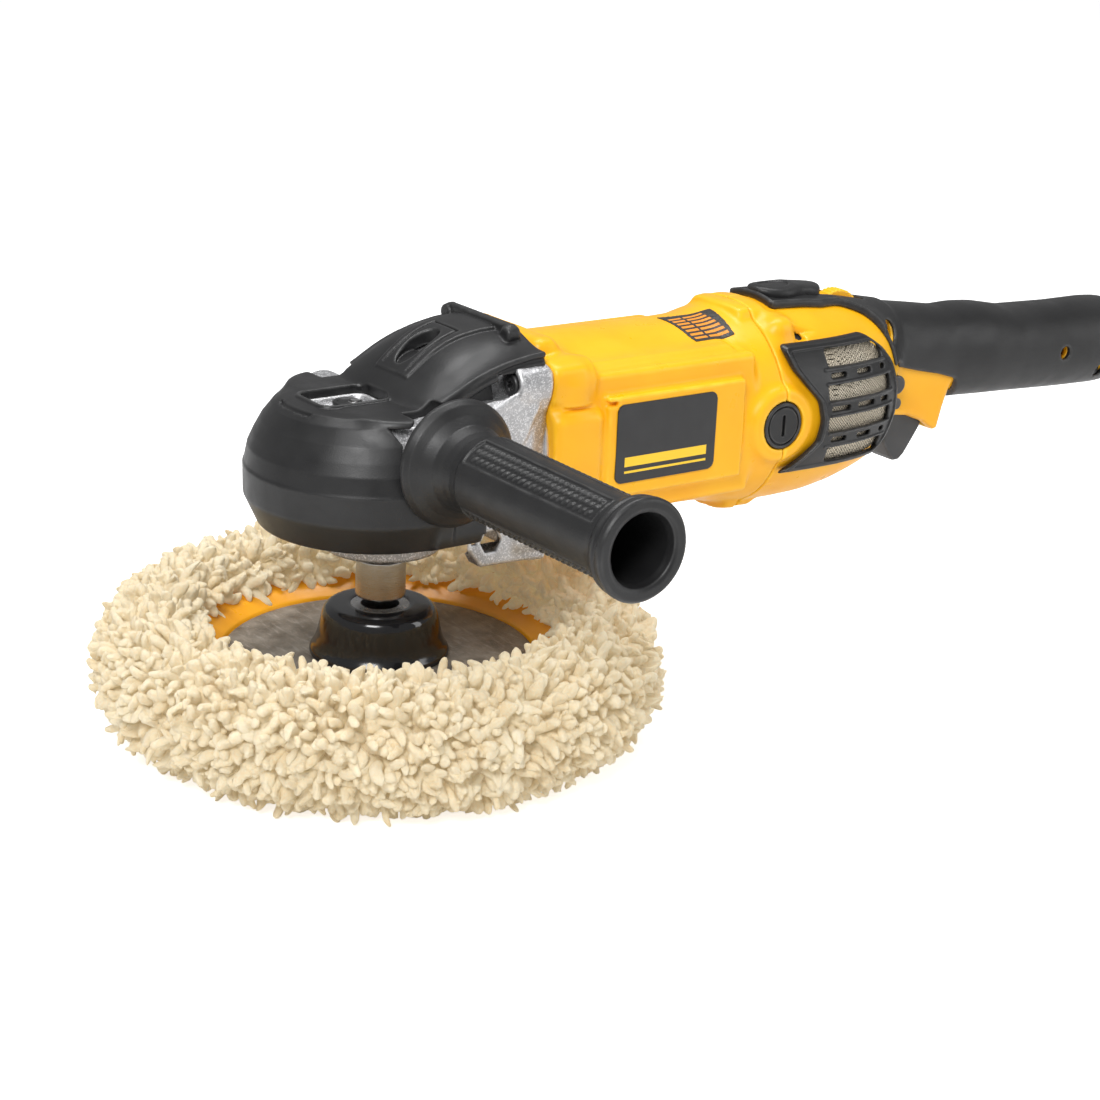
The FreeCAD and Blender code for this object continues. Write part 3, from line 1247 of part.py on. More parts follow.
def build_rear_housing():
    outside = rear_body("rear_outside", 0, "-grip_wall")
    inside = common("rear_inside", rear_body("rear_inner", "-wall", "-grip_wall - wall + 0.2"),
                    box("rear_inside_reach", ("housing_end - 5", -80, 0), ("tail_along - 6", 80, 200)))
    shell = cut("rear_shell", outside, inside)
    block = side_plate("trigger_block", [
        (256, 112.6),
        (256, 100),
        ("slot_front + 2", 101),
        (276, 98.5),
        (286, 94.5),
        (293.5, 89.4),
        (295, 90),
        (297.5, 101),
        (302, 112.6),
    ], "block_side")
    bosses = [common("screw_boss_" + name, outside,
                     cylinder("screw_boss_bar_" + name, 4, 70, (along, -35, height), "Y"))
              for name, (along, height) in HANDLE_SCREWS.items()]
    hollow = [
        box("trigger_slot", ("slot_front", "-trigger_side - gap", 80),
            ("slot_rear", "trigger_side + gap", 114)),
        cylinder("trigger_pin_hole", "trigger_pin_radius + fit", "2 * block_side + 20",
                 ("trigger_x", "-block_side - 10", "trigger_z"), "Y"),
        box("dial_slot", ("dial_x - dial_radius - 1", "-dial_half_width - gap", "dial_z - dial_radius"),
            ("dial_x + dial_radius + 1", "dial_half_width + gap", "dial_z + 30")),
        cylinder("protector_hole", 8.1, 20, ("tail_along - 15", 0, "cord_height"), "X"),
    ]
    for side in ("left", "right"):
        hollow.append(brush_cap_cylinder("rear_cap_hole_" + side, "cap_radius + gap", "housing_bore - 8",
                                         "cap_face + 8", side))
    for k in range(3):
        hollow.append(box(f"intake_{k}", (192, -60, f"shield_low + 8 + {12 * k}"),
                          (236, 60, f"shield_low + 15 + {12 * k}")))
    whole = cut("rear_whole", fuse("rear_solid", shell, block, *bosses), *hollow)

    left = common("rear_left_half", whole, box("rear_half_reach", ("housing_end", -80, 0),
                                               ("tail_along + 1", "-slip", 200)))
    right = mirrored("rear_right_half", left)
    left_holes = [
        cylinder("trigger_pin_recess", "pin_head_radius + slip", 20,
                 ("trigger_x", "-pin_head_seat + 0.1", "trigger_z"), "-Y"),
        cylinder("lock_on_hole", "lock_on_radius + slip", 22,
                 ("lock_on_x", "-lock_on_outer - 6", "lock_on_z"), "Y"),
    ]
    right_holes = []
    for name, (along, height) in HANDLE_SCREWS.items():
        left_holes.append(cylinder("screw_head_hole_" + name, 3, 40, (along, -12, height), "-Y"))
        left_holes.append(cylinder("screw_shank_hole_" + name, 1.6, 14, (along, -13, height), "Y"))
        right_holes.append(cylinder("screw_thread_hole_" + name, 1.6, 11, (along, 0, height), "Y"))
    node("rear_housing_left", cut("rear_left_drilled", left, *left_holes))
    node("rear_housing_right", cut("rear_right_drilled", right, *right_holes))

    screws = []
    for name, (along, height) in HANDLE_SCREWS.items():
        screws.append(turned("handle_screw_" + name, [
            (0, -2.2),
            (2.8, -2.2),
            (2.8, 0),
            (1.5, 0),
            (1.5, 21),
            (0, 21),
        ], (along, -12.1, height), "Y"))
    node("handle_screws", group("handle_screw_set", *screws))
    return outside, block


def build_grip(core, block):
    """The soft layer: a sleeve over the handle and a tongue forward over the top with a raised pad."""
    tongue = common("grip_tongue", bell("grip_tongue_bell", "tongue_proud"),
                    box("grip_tongue_reach", ("tongue_front", "-tongue_side", 135),
                        ("neck_along", "tongue_side", 180)))
    sleeve = common("grip_sleeve", handle_loft("grip_sleeve_barrel", 0),
                    box("grip_sleeve_reach", ("grip_front", -60, 60), ("tail_along - 3", 60, 180)))
    layer = cut("grip_layer", fuse("grip_solid", tongue, sleeve), core)
    openings = [
        block,
        box("grip_dial_slot", ("dial_x - dial_radius - 1", "-dial_half_width - gap", "dial_z - dial_radius"),
            ("dial_x + dial_radius + 1", "dial_half_width + gap", "dial_z + 30")),
        box("grip_trigger_slot", ("slot_front", "-trigger_side - gap", 80),
            ("slot_rear", "trigger_side + gap", 112)),
    ]
    openings.append(cylinder("grip_lock_on_hole", "lock_on_radius + slip", 30,
                             ("lock_on_x", "-lock_on_inner + 1", "lock_on_z"), "-Y"))
    for name, (along, height) in HANDLE_SCREWS.items():
        openings.append(cylinder("grip_screw_hole_" + name, 3.2, 40, (along, -12, height), "-Y"))
        openings.append(cylinder("grip_shank_hole_" + name, 1.7, 26, (along, -14, height), "Y"))
    node("handle_grip", cut("grip_opened", layer, *openings))
    bumper = side_plate("bumper_block", [
        ("knob_front", "knob_foot"),
        ("knob_front", "knob_top - 2"),
        ("knob_front + 3", "knob_top"),
        ("knob_front + 24", "knob_top - 0.6"),
        ("knob_rear", "knob_foot + 1.2"),
        ("knob_rear", "knob_foot"),
    ], "knob_side")
    node("top_bumper", bumper)


def build_shields():
    """Removable intake covers, one each side, with a steel mesh behind their windows."""
    cover = cut("shield_skin", bell("shield_outside", "shield_proud"),
                bell("shield_inside", "mesh_thick + gap"))
    mesh = cut("mesh_skin", bell("mesh_outside", "mesh_thick"), bell("mesh_inside", "gap / 3"))
    sheets = []
    for side, low, high in (("left", -60, -15), ("right", 15, 60)):
        frame = common("shield_frame_" + side, cover,
                       box("shield_reach_" + side, ("shield_front", low, "shield_low"),
                           ("shield_rear", high, "shield_high")))
        windows = [brush_cap_cylinder("shield_notch_" + side, "cap_boss_radius + 2", 10, 70, side)]
        for k in range(4):
            windows.append(box(f"shield_window_{side}_{k}", (192, low - 1, f"shield_low + 5 + {12 * k}"),
                               (238, high + 1, f"shield_low + 12 + {12 * k}")))
        node("ingestion_shield_" + side, cut("shield_cut_" + side, frame, *windows))
        sheet_reach = box("mesh_reach_" + side, (190, low, "shield_low + 3"), (240, high, "shield_high - 3"))
        sheets.append(common("mesh_sheet_" + side, mesh, sheet_reach))
    node("shield_meshes", group("mesh_pair", *sheets))


# ---------------------------------------------------------------- trigger, switch, dial, cord
def build_trigger():
    blade = side_plate("trigger_blade", [
        (261.2, "trigger_z + 2.5"),
        (261.2, 93.5),
        (273.5, 78),
        (276.5, 75.8),
        (279.5, 76.6),
        (290, 92.6),
        (289.5, 97),
        (272, "trigger_z + 3.5"),
        (266, "trigger_z + 4"),
    ], "trigger_side")
    bore = cylinder("trigger_bore", "trigger_pin_radius + slip", 40, ("trigger_x", -20, "trigger_z"), "Y")
    node("trigger", cut("trigger_bored", blade, bore))
    pin = turned("trigger_pin_section", [
        (0, "-pin_head_seat - 1.4"),
        ("pin_head_radius", "-pin_head_seat - 1.4"),
        ("pin_head_radius", "-pin_head_seat"),
        ("trigger_pin_radius", "-pin_head_seat"),
        ("trigger_pin_radius", "block_side - 0.5"),
        (0, "block_side - 0.5"),
    ], ("trigger_x", 0, "trigger_z"), "Y")
    node("trigger_pin", pin)
    spring = coil_spring("trigger_spring_coil", 2, 0.35, 9.6, 5, (284, 0, 103.2), "Z")
    node("trigger_spring", spring)
    node("switch_module", box("switch_box", (268, -8.8, 113), (304, 8.8, 127)))
    button = turned("lock_on_section", [
        (0, "lock_on_inner"),
        ("lock_on_radius", "lock_on_inner"),
        ("lock_on_radius", "lock_on_outer - 0.8"),
        ("lock_on_radius - 0.8", "lock_on_outer"),
        (0, "lock_on_outer"),
    ], ("lock_on_x", 0, "lock_on_z"), "-Y")
    node("lock_on_button", button)


def build_dial():
    wheel = tube("dial_wheel", "dial_pin_radius + slip", "dial_radius", "2 * dial_half_width",
                 ("dial_x", "-dial_half_width", "dial_z"), "Y")
    notch = slot_in(wheel, "dial_notch", 1.6, "dial_radius - 0.9", "dial_radius + 1", "2 * dial_half_width")
    pattern(wheel, notch, 24)
    node("speed_dial", wheel)
    posts = []
    for side, low, high in (("left", -8, -4.4), ("right", 4.4, 8)):
        posts.append(box("dial_post_" + side, ("dial_x - 4", low, 129), ("dial_x + 4", high, "dial_z + 4")))
    axle = cylinder("dial_axle", "dial_pin_radius", 15, ("dial_x", -7.5, "dial_z"), "Y")
    board = box("speed_board", (206, -20, 126.5), (246, 20, 129))
    node("speed_control_board", fuse("speed_board_with_axle", board, axle, *posts))


def build_cord():
    protector = turned("protector_section", [
        ("cord_radius + fit", "tail_along - 10"),
        (11, "tail_along - 10"),
        (11, "tail_along - 6 - gap"),
        (8, "tail_along - 6 - gap"),
        (8, "tail_along + gap"),
        (10.5, "tail_along + gap"),
        (10.5, "tail_along + 6"),
        (8.2, "tail_along + 10"),
        (5.6, "protector_rear"),
        ("cord_radius + fit", "protector_rear"),
    ], (0, 0, "cord_height"), "X")
    node("cord_protector", protector)
    node("power_cord", cylinder("cord_length", "cord_radius", "cord_end - cord_start",
                                ("cord_start", 0, "cord_height"), "X"))
    saddle = box("clamp_block", (388, -9, "cord_height + 0.5"), (396, 9, "cord_height + 8"))
    groove = cylinder("clamp_groove", "cord_radius + fit", 20, (380, 0, "cord_height"), "X")
    node("cord_clamp", cut("clamp_grooved", saddle, groove))


# ---------------------------------------------------------------- side handle
def build_side_handle():
    """Both pieces are drawn by their distance out from the tool's middle plane."""
    at = (0, 0, "handle_height")
    grip = turned("side_grip_section", [
        ("stud_radius + fit", "side_rim"),
        ("side_flange_radius", "side_rim"),
        ("side_flange_radius", "side_rim + 3.5"),
        ("side_flange_radius - 2.2", "side_rim + 7"),
        ("side_grip_radius + 1.5", "side_rim + 12"),
        ("side_grip_radius - 0.8", "side_rim + 19"),
        ("side_grip_radius", "side_rim + 27"),
        ("side_grip_radius - 0.4", "side_end - 10"),
        ("side_lip_radius - 0.8", "side_end - 5.5"),
        ("side_lip_radius", "side_end - 3"),
        ("side_lip_radius - 0.6", "side_end"),
        ("side_recess_radius + 1", "side_end"),
        ("side_recess_radius", "side_end - 2"),
        ("side_recess_radius", "side_recess_floor"),
        (0, "side_recess_floor"),
        (0, "stud_end + gap"),
        ("stud_radius + fit", "stud_end + gap"),
    ], at, "-Y")
    node("side_handle_grip", grip)
    thread_start = "boss_face - handle_thread_depth + 1"
    stud = turned("side_stud_section", [
        (0, thread_start),
        ("handle_thread - slip", thread_start),
        ("handle_thread - slip", "side_rim"),
        ("stud_radius", "side_rim + gap"),
        ("stud_radius", "stud_end"),
        (0, "stud_end"),
    ], at, "-Y")
    node("side_handle_stud", stud)


# ---------------------------------------------------------------- build, check, write
build_pad()
build_spindle()
build_retainer()
build_ring_gear()
build_intermediate_shaft()
build_spur_gears()
build_gear_case()
build_boot()
build_lock()
build_bearing_plate()
build_armature()
build_field()
build_brushes()
build_rear_bracket()
build_motor_housing()
build_labels()
housing_core, housing_block = build_rear_housing()
build_grip(housing_core, housing_block)
build_shields()
build_trigger()
build_dial()
build_cord()
build_side_handle()

doc.recompute()
faults = [f"{thing.Label}: {thing.State}" for thing in doc.Objects
          if "Invalid" in thing.State or "Error" in thing.State]
faults += [f"{piece.Label}: no valid shape" for piece in nodes
           if piece.Shape.isNull() or not piece.Shape.isValid() or not piece.Shape.Solids]
if faults:
    raise RuntimeError("; ".join(faults))
for piece in nodes:
    piece.Shape.exportStep(f"parts/{piece.Label}.step")
print(f"{len(nodes)} sub-parts written")
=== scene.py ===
"""Looks of a rotary polisher: shapes are signed distances in millimetres, skinned into meshes in metres."""

import math

import bpy
import numpy as np
from mathutils import Matrix, Vector


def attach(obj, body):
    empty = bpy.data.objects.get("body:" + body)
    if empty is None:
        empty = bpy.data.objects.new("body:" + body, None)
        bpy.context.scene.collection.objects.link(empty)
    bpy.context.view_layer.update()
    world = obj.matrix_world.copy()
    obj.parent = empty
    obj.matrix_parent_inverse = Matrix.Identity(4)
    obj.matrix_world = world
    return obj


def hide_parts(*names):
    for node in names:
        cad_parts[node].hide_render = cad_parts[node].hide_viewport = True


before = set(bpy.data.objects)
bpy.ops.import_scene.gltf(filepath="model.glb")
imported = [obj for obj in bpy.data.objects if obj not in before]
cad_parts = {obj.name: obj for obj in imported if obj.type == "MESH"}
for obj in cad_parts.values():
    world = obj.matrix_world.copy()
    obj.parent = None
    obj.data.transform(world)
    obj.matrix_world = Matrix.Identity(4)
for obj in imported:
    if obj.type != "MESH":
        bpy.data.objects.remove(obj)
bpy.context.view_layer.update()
MM = 0.001

# ---------------- main dimensions, mm
HEAD_X = -5                 # axis of the round head
LOCK_X = -17                # axis of the spindle lock button
SEAM_X = 173                # seam between motor housing and rear housing
MOTOR_Z = 115               # motor axis
SHAFT_Z = 136.5             # intermediate shaft axis
HANDLE_Z = 124.4            # side handle axis
CORD_Z = 118.5              # cord axis
SCREW_LOW = (33, 84)        # case screws, y and z, mirrored to the other side
SCREW_HIGH = (33, 146)
BRUSH_CAP = (171.7, 115)    # brush cap axis, x and z
DIAL = (236, 146.5)         # speed dial axis, x and z
LOCK_ON = (259.5, 117)      # lock-on button axis, x and z
TRIGGER = (264.5, 106.5)    # trigger pin axis, x and z
HANDLE_SCREWS = [(254.5, 142), (372, 119), (400, 107)]      # x and z
HANDLE_WALL = 2.6           # shell under the grip
BOSS_RADIUS = 15.6          # round blister around a brush cap


# ---------------- signed distances
def join(a, b, k=0.0):
    """Union with a fillet of about k."""
    if k <= 0:
        return np.minimum(a, b)
    h = np.maximum(k - np.abs(a - b), 0) / k
    return np.minimum(a, b) - h * h * k / 4


def meet(a, b, k=0.0):
    """Intersection with a rounded edge of about k."""
    return -join(-a, -b, k)


def carve(a, b, k=0.0):
    """a with b taken away."""
    return -join(-a, b, k)


def mirrored(p):
    """The same place on the +Y side, for a shape with two equal sides."""
    return p[0], np.abs(p[1]), p[2]


def corner_distance(a, b, r):
    """Distance in a plane to the origin's quadrant, its corner rounded to r."""
    return np.hypot(np.maximum(a + r, 0), np.maximum(b + r, 0)) + np.minimum(np.maximum(a, b) + r, 0) - r


def box(p, low, high, r=0.0):
    """A box between two corners, its edges rounded to r."""
    d = [np.abs(c - (a + b) / 2) - ((b - a) / 2 - r) for c, a, b in zip(p, low, high)]
    outside = np.sqrt(sum(np.maximum(q, 0) ** 2 for q in d))
    return outside + np.minimum(np.maximum(np.maximum(d[0], d[1]), d[2]), 0) - r


def rod(p, axis, at, low, high, radius, r=0.0):
    """A cylinder along an axis; at holds its other two coordinates."""
    along = p["xyz".index(axis)]
    a, b = [p[k] for k in range(3) if "xyz"[k] != axis]
    radial = np.hypot(a - at[0], b - at[1]) - radius
    axial = np.abs(along - (low + high) / 2) - (high - low) / 2
    return corner_distance(radial, axial, r)


def outline(a, b, corners):
    """Distance in a plane to a closed outline."""
    nearest = np.full(np.shape(a), 1e12, np.float32)
    sign = np.ones(np.shape(a), np.float32)
    for (xi, yi), (xj, yj) in zip(corners, corners[-1:] + corners[:-1]):
        ex, ey = xj - xi, yj - yi
        wx, wy = a - xi, b - yi
        t = np.clip((wx * ex + wy * ey) / (ex * ex + ey * ey), 0, 1)
        nearest = np.minimum(nearest, (wx - ex * t) ** 2 + (wy - ey * t) ** 2)
        over, under, left = b >= yi, b < yj, ex * wy > ey * wx
        flip = (over & under & left) | (~over & ~under & ~left)
        sign = np.where(flip, -sign, sign)
    return sign * np.sqrt(nearest)


def prism(p, corners, low, high, r=0.0):
    """An (x, z) outline filled from y = low to y = high."""
    flat = outline(p[0], p[2], corners)
    return meet(flat, np.abs(p[1] - (low + high) / 2) - (high - low) / 2, r)


def turned(p, axis, at, corners):
    """A half section of (radius, place along the axis) corners turned round the axis."""
    along = p["xyz".index(axis)]
    a, b = [p[k] for k in range(3) if "xyz"[k] != axis]
    return outline(np.hypot(a - at[0], b - at[1]), along, corners)


def flow(x, table, window=9):
    """A smooth curve through (place, value) pairs."""
    places, values = zip(*table)
    fine = np.arange(places[0] - window, places[-1] + window + 1, 1.0)
    straight = np.interp(fine, places, values)
    kernel = np.hanning(window + 2)[1:-1]
    padded = np.pad(straight, window // 2, mode="edge")
    smooth = np.convolve(padded, kernel / kernel.sum(), mode="valid")
    return np.interp(x, fine, smooth)


def hexagon(a, b, radius):
    """Distance in a plane to a hexagon of that inner radius."""
    faces = (b, 0.866 * a + 0.5 * b, 0.866 * a - 0.5 * b)
    return np.maximum.reduce([np.abs(face) for face in faces]) - radius


def oval(p, sections, power=2.0, window=9):
    """A barrel along X with oval sections (x, half width, bottom, top)."""
    x, y, z = p
    half_width, low, high = [flow(x, [(s[0], s[k]) for s in sections], window) for k in (1, 2, 3)]
    half_height, centre = (high - low) / 2, (high + low) / 2
    u, v = np.abs(y) / half_width, np.abs(z - centre) / half_height
    q = (u ** power + v ** power + 1e-9) ** (1 / power)
    slope = np.hypot(u ** (power - 1) / half_width, v ** (power - 1) / half_height) / q ** (power - 1)
    d = (q - 1) / np.maximum(slope, 1e-3)
    return np.clip(d, -25, 60)


# ---------------- meshes from distances
BLOCK = 8
CORNERS = [(i, j, k) for i in (0, 1) for j in (0, 1) for k in (0, 1)]


def sample(field, low, high, step):
    """Values on a fine grid, worked out only in the blocks near the surface."""
    size = BLOCK * step
    count = [int(math.ceil((h - l) / size)) for l, h in zip(low, high)]
    centres = [l + (np.arange(n) + 0.5) * size for l, n in zip(low, count)]
    rough = np.asarray(field(tuple(np.meshgrid(*centres, indexing="ij"))), np.float32)
    grid = rough.repeat(BLOCK, 0).repeat(BLOCK, 1).repeat(BLOCK, 2)
    inner = np.indices((BLOCK,) * 3).reshape(3, 1, -1)
    near = np.argwhere(np.abs(rough) < size * 1.25)
    for chunk in np.array_split(near, max(1, len(near) // 3000)):
        cells = (chunk.T[:, :, None] * BLOCK + inner).reshape(3, -1)
        place = [np.float32(l + step / 2) + cell.astype(np.float32) * np.float32(step)
                 for cell, l in zip(cells, low)]
        grid[tuple(cells)] = field(tuple(place))
    return grid


def surface_net(grid):
    """Vertices in grid steps and quads of the zero surface."""
    inside = grid < 0
    n = [s - 1 for s in grid.shape]
    filled = sum(inside[i:n[0] + i, j:n[1] + j, k:n[2] + k].astype(np.int8) for i, j, k in CORNERS)
    cells = np.argwhere((filled > 0) & (filled < 8))
    number = np.full(n, -1, np.int32)
    number[tuple(cells.T)] = np.arange(len(cells))
    values = np.stack([grid[tuple((cells + c).T)] for c in CORNERS], 1)
    total = np.zeros((len(cells), 3))
    crossings = np.zeros(len(cells))
    for a, ca in enumerate(CORNERS):
        for b, cb in enumerate(CORNERS):
            if b <= a or sum(abs(u - v) for u, v in zip(ca, cb)) != 1:
                continue
            va, vb = values[:, a], values[:, b]
            cross = (va < 0) != (vb < 0)
            share = np.where(cross, va / np.where(cross, va - vb, 1), 0)
            point = np.array(ca) + share[:, None] * (np.array(cb) - np.array(ca))
            total += point * cross[:, None]
            crossings += cross
    vertices = cells + total / crossings[:, None]
    quads = []
    for axis in range(3):
        u, v = (axis + 1) % 3, (axis + 2) % 3
        first = [slice(None)] * 3
        second = [slice(None)] * 3
        first[axis], second[axis] = slice(0, -1), slice(1, None)
        low_side = inside[tuple(first)]
        edges = np.argwhere(low_side != inside[tuple(second)])
        keep = (edges[:, u] > 0) & (edges[:, v] > 0) & (edges[:, u] < n[u]) & (edges[:, v] < n[v])
        edges = edges[keep]
        du, dv = np.eye(3, dtype=int)[[u, v]]
        ring = np.stack([number[tuple((edges - d).T)] for d in (du + dv, dv, np.zeros(3, int), du)], 1)
        outward = low_side[tuple(edges.T)]
        quads.append(np.where(outward[:, None], ring, ring[:, ::-1]))
    return vertices, np.concatenate(quads)


def relax(vertices, quads, field, step, rounds):
    """Even out the vertices, then drop them back onto the surface."""
    pairs = np.concatenate([quads[:, [k, (k + 1) % 4]] for k in range(4)])
    degree = np.bincount(pairs.ravel(), minlength=len(vertices))
    small = 0.25 * step
    for _ in range(rounds):
        total = np.stack([np.bincount(pairs[:, 0], vertices[pairs[:, 1], k], len(vertices))
                          + np.bincount(pairs[:, 1], vertices[pairs[:, 0], k], len(vertices))
                          for k in range(3)], 1)
        vertices = 0.4 * vertices + 0.6 * total / np.maximum(degree, 1)[:, None]
        here = field(tuple(vertices.T))
        slope = np.stack([field(tuple((vertices + small * e).T)) - field(tuple((vertices - small * e).T))
                          for e in np.eye(3)], 1) / (2 * small)
        move = -(here / np.maximum((slope ** 2).sum(1), 0.2))[:, None] * slope
        length = np.linalg.norm(move, axis=1, keepdims=True)
        vertices = vertices + move * np.minimum(1, 0.6 * step / np.maximum(length, 1e-9))
    return vertices


def new_piece(name, vertices, faces, body, material, stands_for=()):
    """A smooth-shaded mesh in place on a CAD body, standing for CAD nodes."""
    mesh = bpy.data.meshes.new(name)
    mesh.from_pydata((np.asarray(vertices) * MM).tolist(), [], [list(map(int, f)) for f in faces])
    mesh.update()
    mesh.polygons.foreach_set("use_smooth", [True] * len(mesh.polygons))
    mesh.materials.append(material)
    piece = bpy.data.objects.new(name, mesh)
    bpy.context.scene.collection.objects.link(piece)
    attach(piece, body)
    if stands_for:
        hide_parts(*stands_for)


def skin(name, field, low, high, step, body, material, stands_for=(), rounds=2):
    """Mesh a signed distance inside a box that holds it."""
    pad = 2 * step
    low = [c - pad for c in low]
    high = [c + pad for c in high]
    vertices, quads = surface_net(sample(field, low, high, step))
    vertices = (vertices + 0.5) * step + np.array(low)
    vertices = relax(vertices, quads, field, step, rounds)
    new_piece(name, vertices, quads, body, material, stands_for)


def lathe(name, corners, body, material, stands_for=(), segments=160, axis="z", at=(0, 0)):
    """A closed outline of (radius, place) corners turned round Z or X; one on the axis closes the end."""
    vertices, rings = [], []
    for radius, along in corners:
        ring = []
        for k in range(segments if radius > 1e-6 else 1):
            angle = 2 * math.pi * k / segments
            a, b = at[0] + radius * math.cos(angle), at[1] + radius * math.sin(angle)
            ring.append(len(vertices))
            vertices.append((a, b, along) if axis == "z" else (along, a, b))
        rings.append(ring)
    faces = []
    closed = min(radius for radius, _ in corners) > 1e-6
    links = list(zip(rings, rings[1:])) + ([(rings[-1], rings[0])] if closed else [])
    for one, two in links:
        for k in range(segments):
            n = (k + 1) % segments
            if len(one) == 1:
                faces.append((one[0], two[n], two[k]))
            elif len(two) == 1:
                faces.append((one[k], one[n], two[0]))
            else:
                faces.append((one[k], one[n], two[n], two[k]))
    new_piece(name, vertices, faces, body, material, stands_for)


def rounded(corners, radius, steps=3):
    """An outline with its corners rounded; a corner on the turning axis stays sharp."""
    result = []
    count = len(corners)
    for k, (a, b) in enumerate(corners):
        before, after = np.array(corners[k - 1]), np.array(corners[(k + 1) % count])
        here = np.array((a, b), float)
        if a < 1e-6:
            result.append((0.0, b))
            continue
        one, two = before - here, after - here
        reach = min(radius, 0.45 * np.linalg.norm(one), 0.45 * np.linalg.norm(two))
        start = here + one / np.linalg.norm(one) * reach
        stop = here + two / np.linalg.norm(two) * reach
        for t in np.linspace(0, 1, steps + 1):
            result.append(tuple((1 - t) ** 2 * start + 2 * t * (1 - t) * here + t ** 2 * stop))
    return result


# ---------------- materials
class Nodes:
    """A short way to write node trees: every call adds one node and returns it."""

    def __init__(self, name):
        self.material = bpy.data.materials.new(name)
        self.material.use_nodes = True
        self.tree = self.material.node_tree
        self.surface = self.tree.nodes["Principled BSDF"]
        self.place = self.add("ShaderNodeTexCoord").outputs["Object"]

    def add(self, kind, inputs=None, **settings):
        node = self.tree.nodes.new(kind)
        for key, value in settings.items():
            setattr(node, key, value)
        for key, value in (inputs or {}).items():
            self.put(node.inputs[key], value)
        return node

    def put(self, socket, value):
        if isinstance(value, bpy.types.NodeSocket):
            self.tree.links.new(value, socket)
        else:
            socket.default_value = value

    def noise(self, scale, detail=3.0, rough=0.5, at=None):
        inputs = {"Vector": at or self.place, "Scale": scale, "Detail": detail, "Roughness": rough}
        return self.add("ShaderNodeTexNoise", inputs).outputs["Fac"]

    def spread(self, value, low, high, to_low=0.0, to_high=1.0):
        inputs = {"Value": value, "From Min": low, "From Max": high, "To Min": to_low, "To Max": to_high}
        return self.add("ShaderNodeMapRange", inputs).outputs["Result"]

    def blend(self, share, one, two, mode="MIX"):
        node = self.add("ShaderNodeMix", data_type="RGBA", blend_type=mode)
        self.put(node.inputs[0], share)
        self.put(node.inputs[6], one)
        self.put(node.inputs[7], two)
        return node.outputs[2]

    def math(self, operation, a, b=0.0):
        node = self.add("ShaderNodeMath", operation=operation)
        self.put(node.inputs[0], a)
        self.put(node.inputs[1], b)
        return node.outputs[0]

    def stretch(self, factors):
        return self.add("ShaderNodeMapping", {"Vector": self.place, "Scale": factors}).outputs["Vector"]

    def edges(self, low=0.505, high=0.56):
        """1 on worn convex edges, 0 elsewhere."""
        pointy = self.add("ShaderNodeNewGeometry").outputs["Pointiness"]
        return self.spread(pointy, low, high)

    def bump(self, height, distance, strength=1.0, under=None):
        inputs = {"Height": height, "Distance": distance, "Strength": strength}
        node = self.add("ShaderNodeBump", inputs)
        if under is not None:
            self.put(node.inputs["Normal"], under)
        return node.outputs["Normal"]

    def finish(self, **values):
        """Connect the named values to the surface and hand back the material."""
        names = {"colour": "Base Color", "rough": "Roughness", "metal": "Metallic", "normal": "Normal",
                 "sheen": "Sheen Weight", "sheen_rough": "Sheen Roughness", "shine": "Specular IOR Level",
                 "aniso": "Anisotropic", "glow": "Emission Color", "glow_power": "Emission Strength"}
        for key, value in values.items():
            self.put(self.surface.inputs[names[key]], value)
        return self.material


def rgb(r, g, b):
    return (r, g, b, 1.0)


def grey(value):
    return rgb(value, value, value)


def moulded(name, dark, light, rough, grain=2400.0, depth=0.00006, edge=None, shine=0.5, mottle=35.0):
    """Moulded plastic or rubber: slow colour drift, spark-eroded grain, rubbed edges."""
    n = Nodes(name)
    colour = n.blend(n.spread(n.noise(mottle), 0.3, 0.7), dark, light)
    if edge:
        rub = n.math("MULTIPLY", n.edges(), n.spread(n.noise(160.0), 0.35, 0.65, 0.2, 0.8))
        colour = n.blend(rub, colour, edge)
    patches = n.noise(mottle * 3, 5.0)
    roughness = n.spread(patches, 0.3, 0.7, rough - 0.07, rough + 0.07)
    pores = n.bump(n.noise(grain, 2.0, 0.6), depth, 0.55)
    waves = n.bump(n.noise(90.0), 0.0002, 0.25, pores)
    return n.finish(colour=colour, rough=roughness, normal=waves, shine=shine)


def cast_metal():
    """Blasted cast aluminium with bright grains."""
    n = Nodes("cast_aluminium")
    grains = n.add("ShaderNodeTexVoronoi", {"Vector": n.place, "Scale": 2100.0}).outputs["Color"]
    value = n.add("ShaderNodeSeparateColor", {"Color": grains}).outputs["Red"]
    base = n.blend(n.spread(n.noise(60.0), 0.3, 0.7), rgb(0.32, 0.32, 0.33), rgb(0.5, 0.5, 0.51))
    colour = n.blend(n.spread(value, 0.55, 1.0, 0.0, 0.75), base, rgb(0.92, 0.92, 0.93))
    colour = n.blend(n.edges(0.51, 0.58), colour, grey(0.9))
    rough = n.spread(value, 0.0, 1.0, 0.33, 0.6)
    normal = n.bump(n.noise(1500.0, 3.0, 0.7), 0.0002, 0.8)
    return n.finish(colour=colour, metal=0.85, rough=rough, normal=normal)


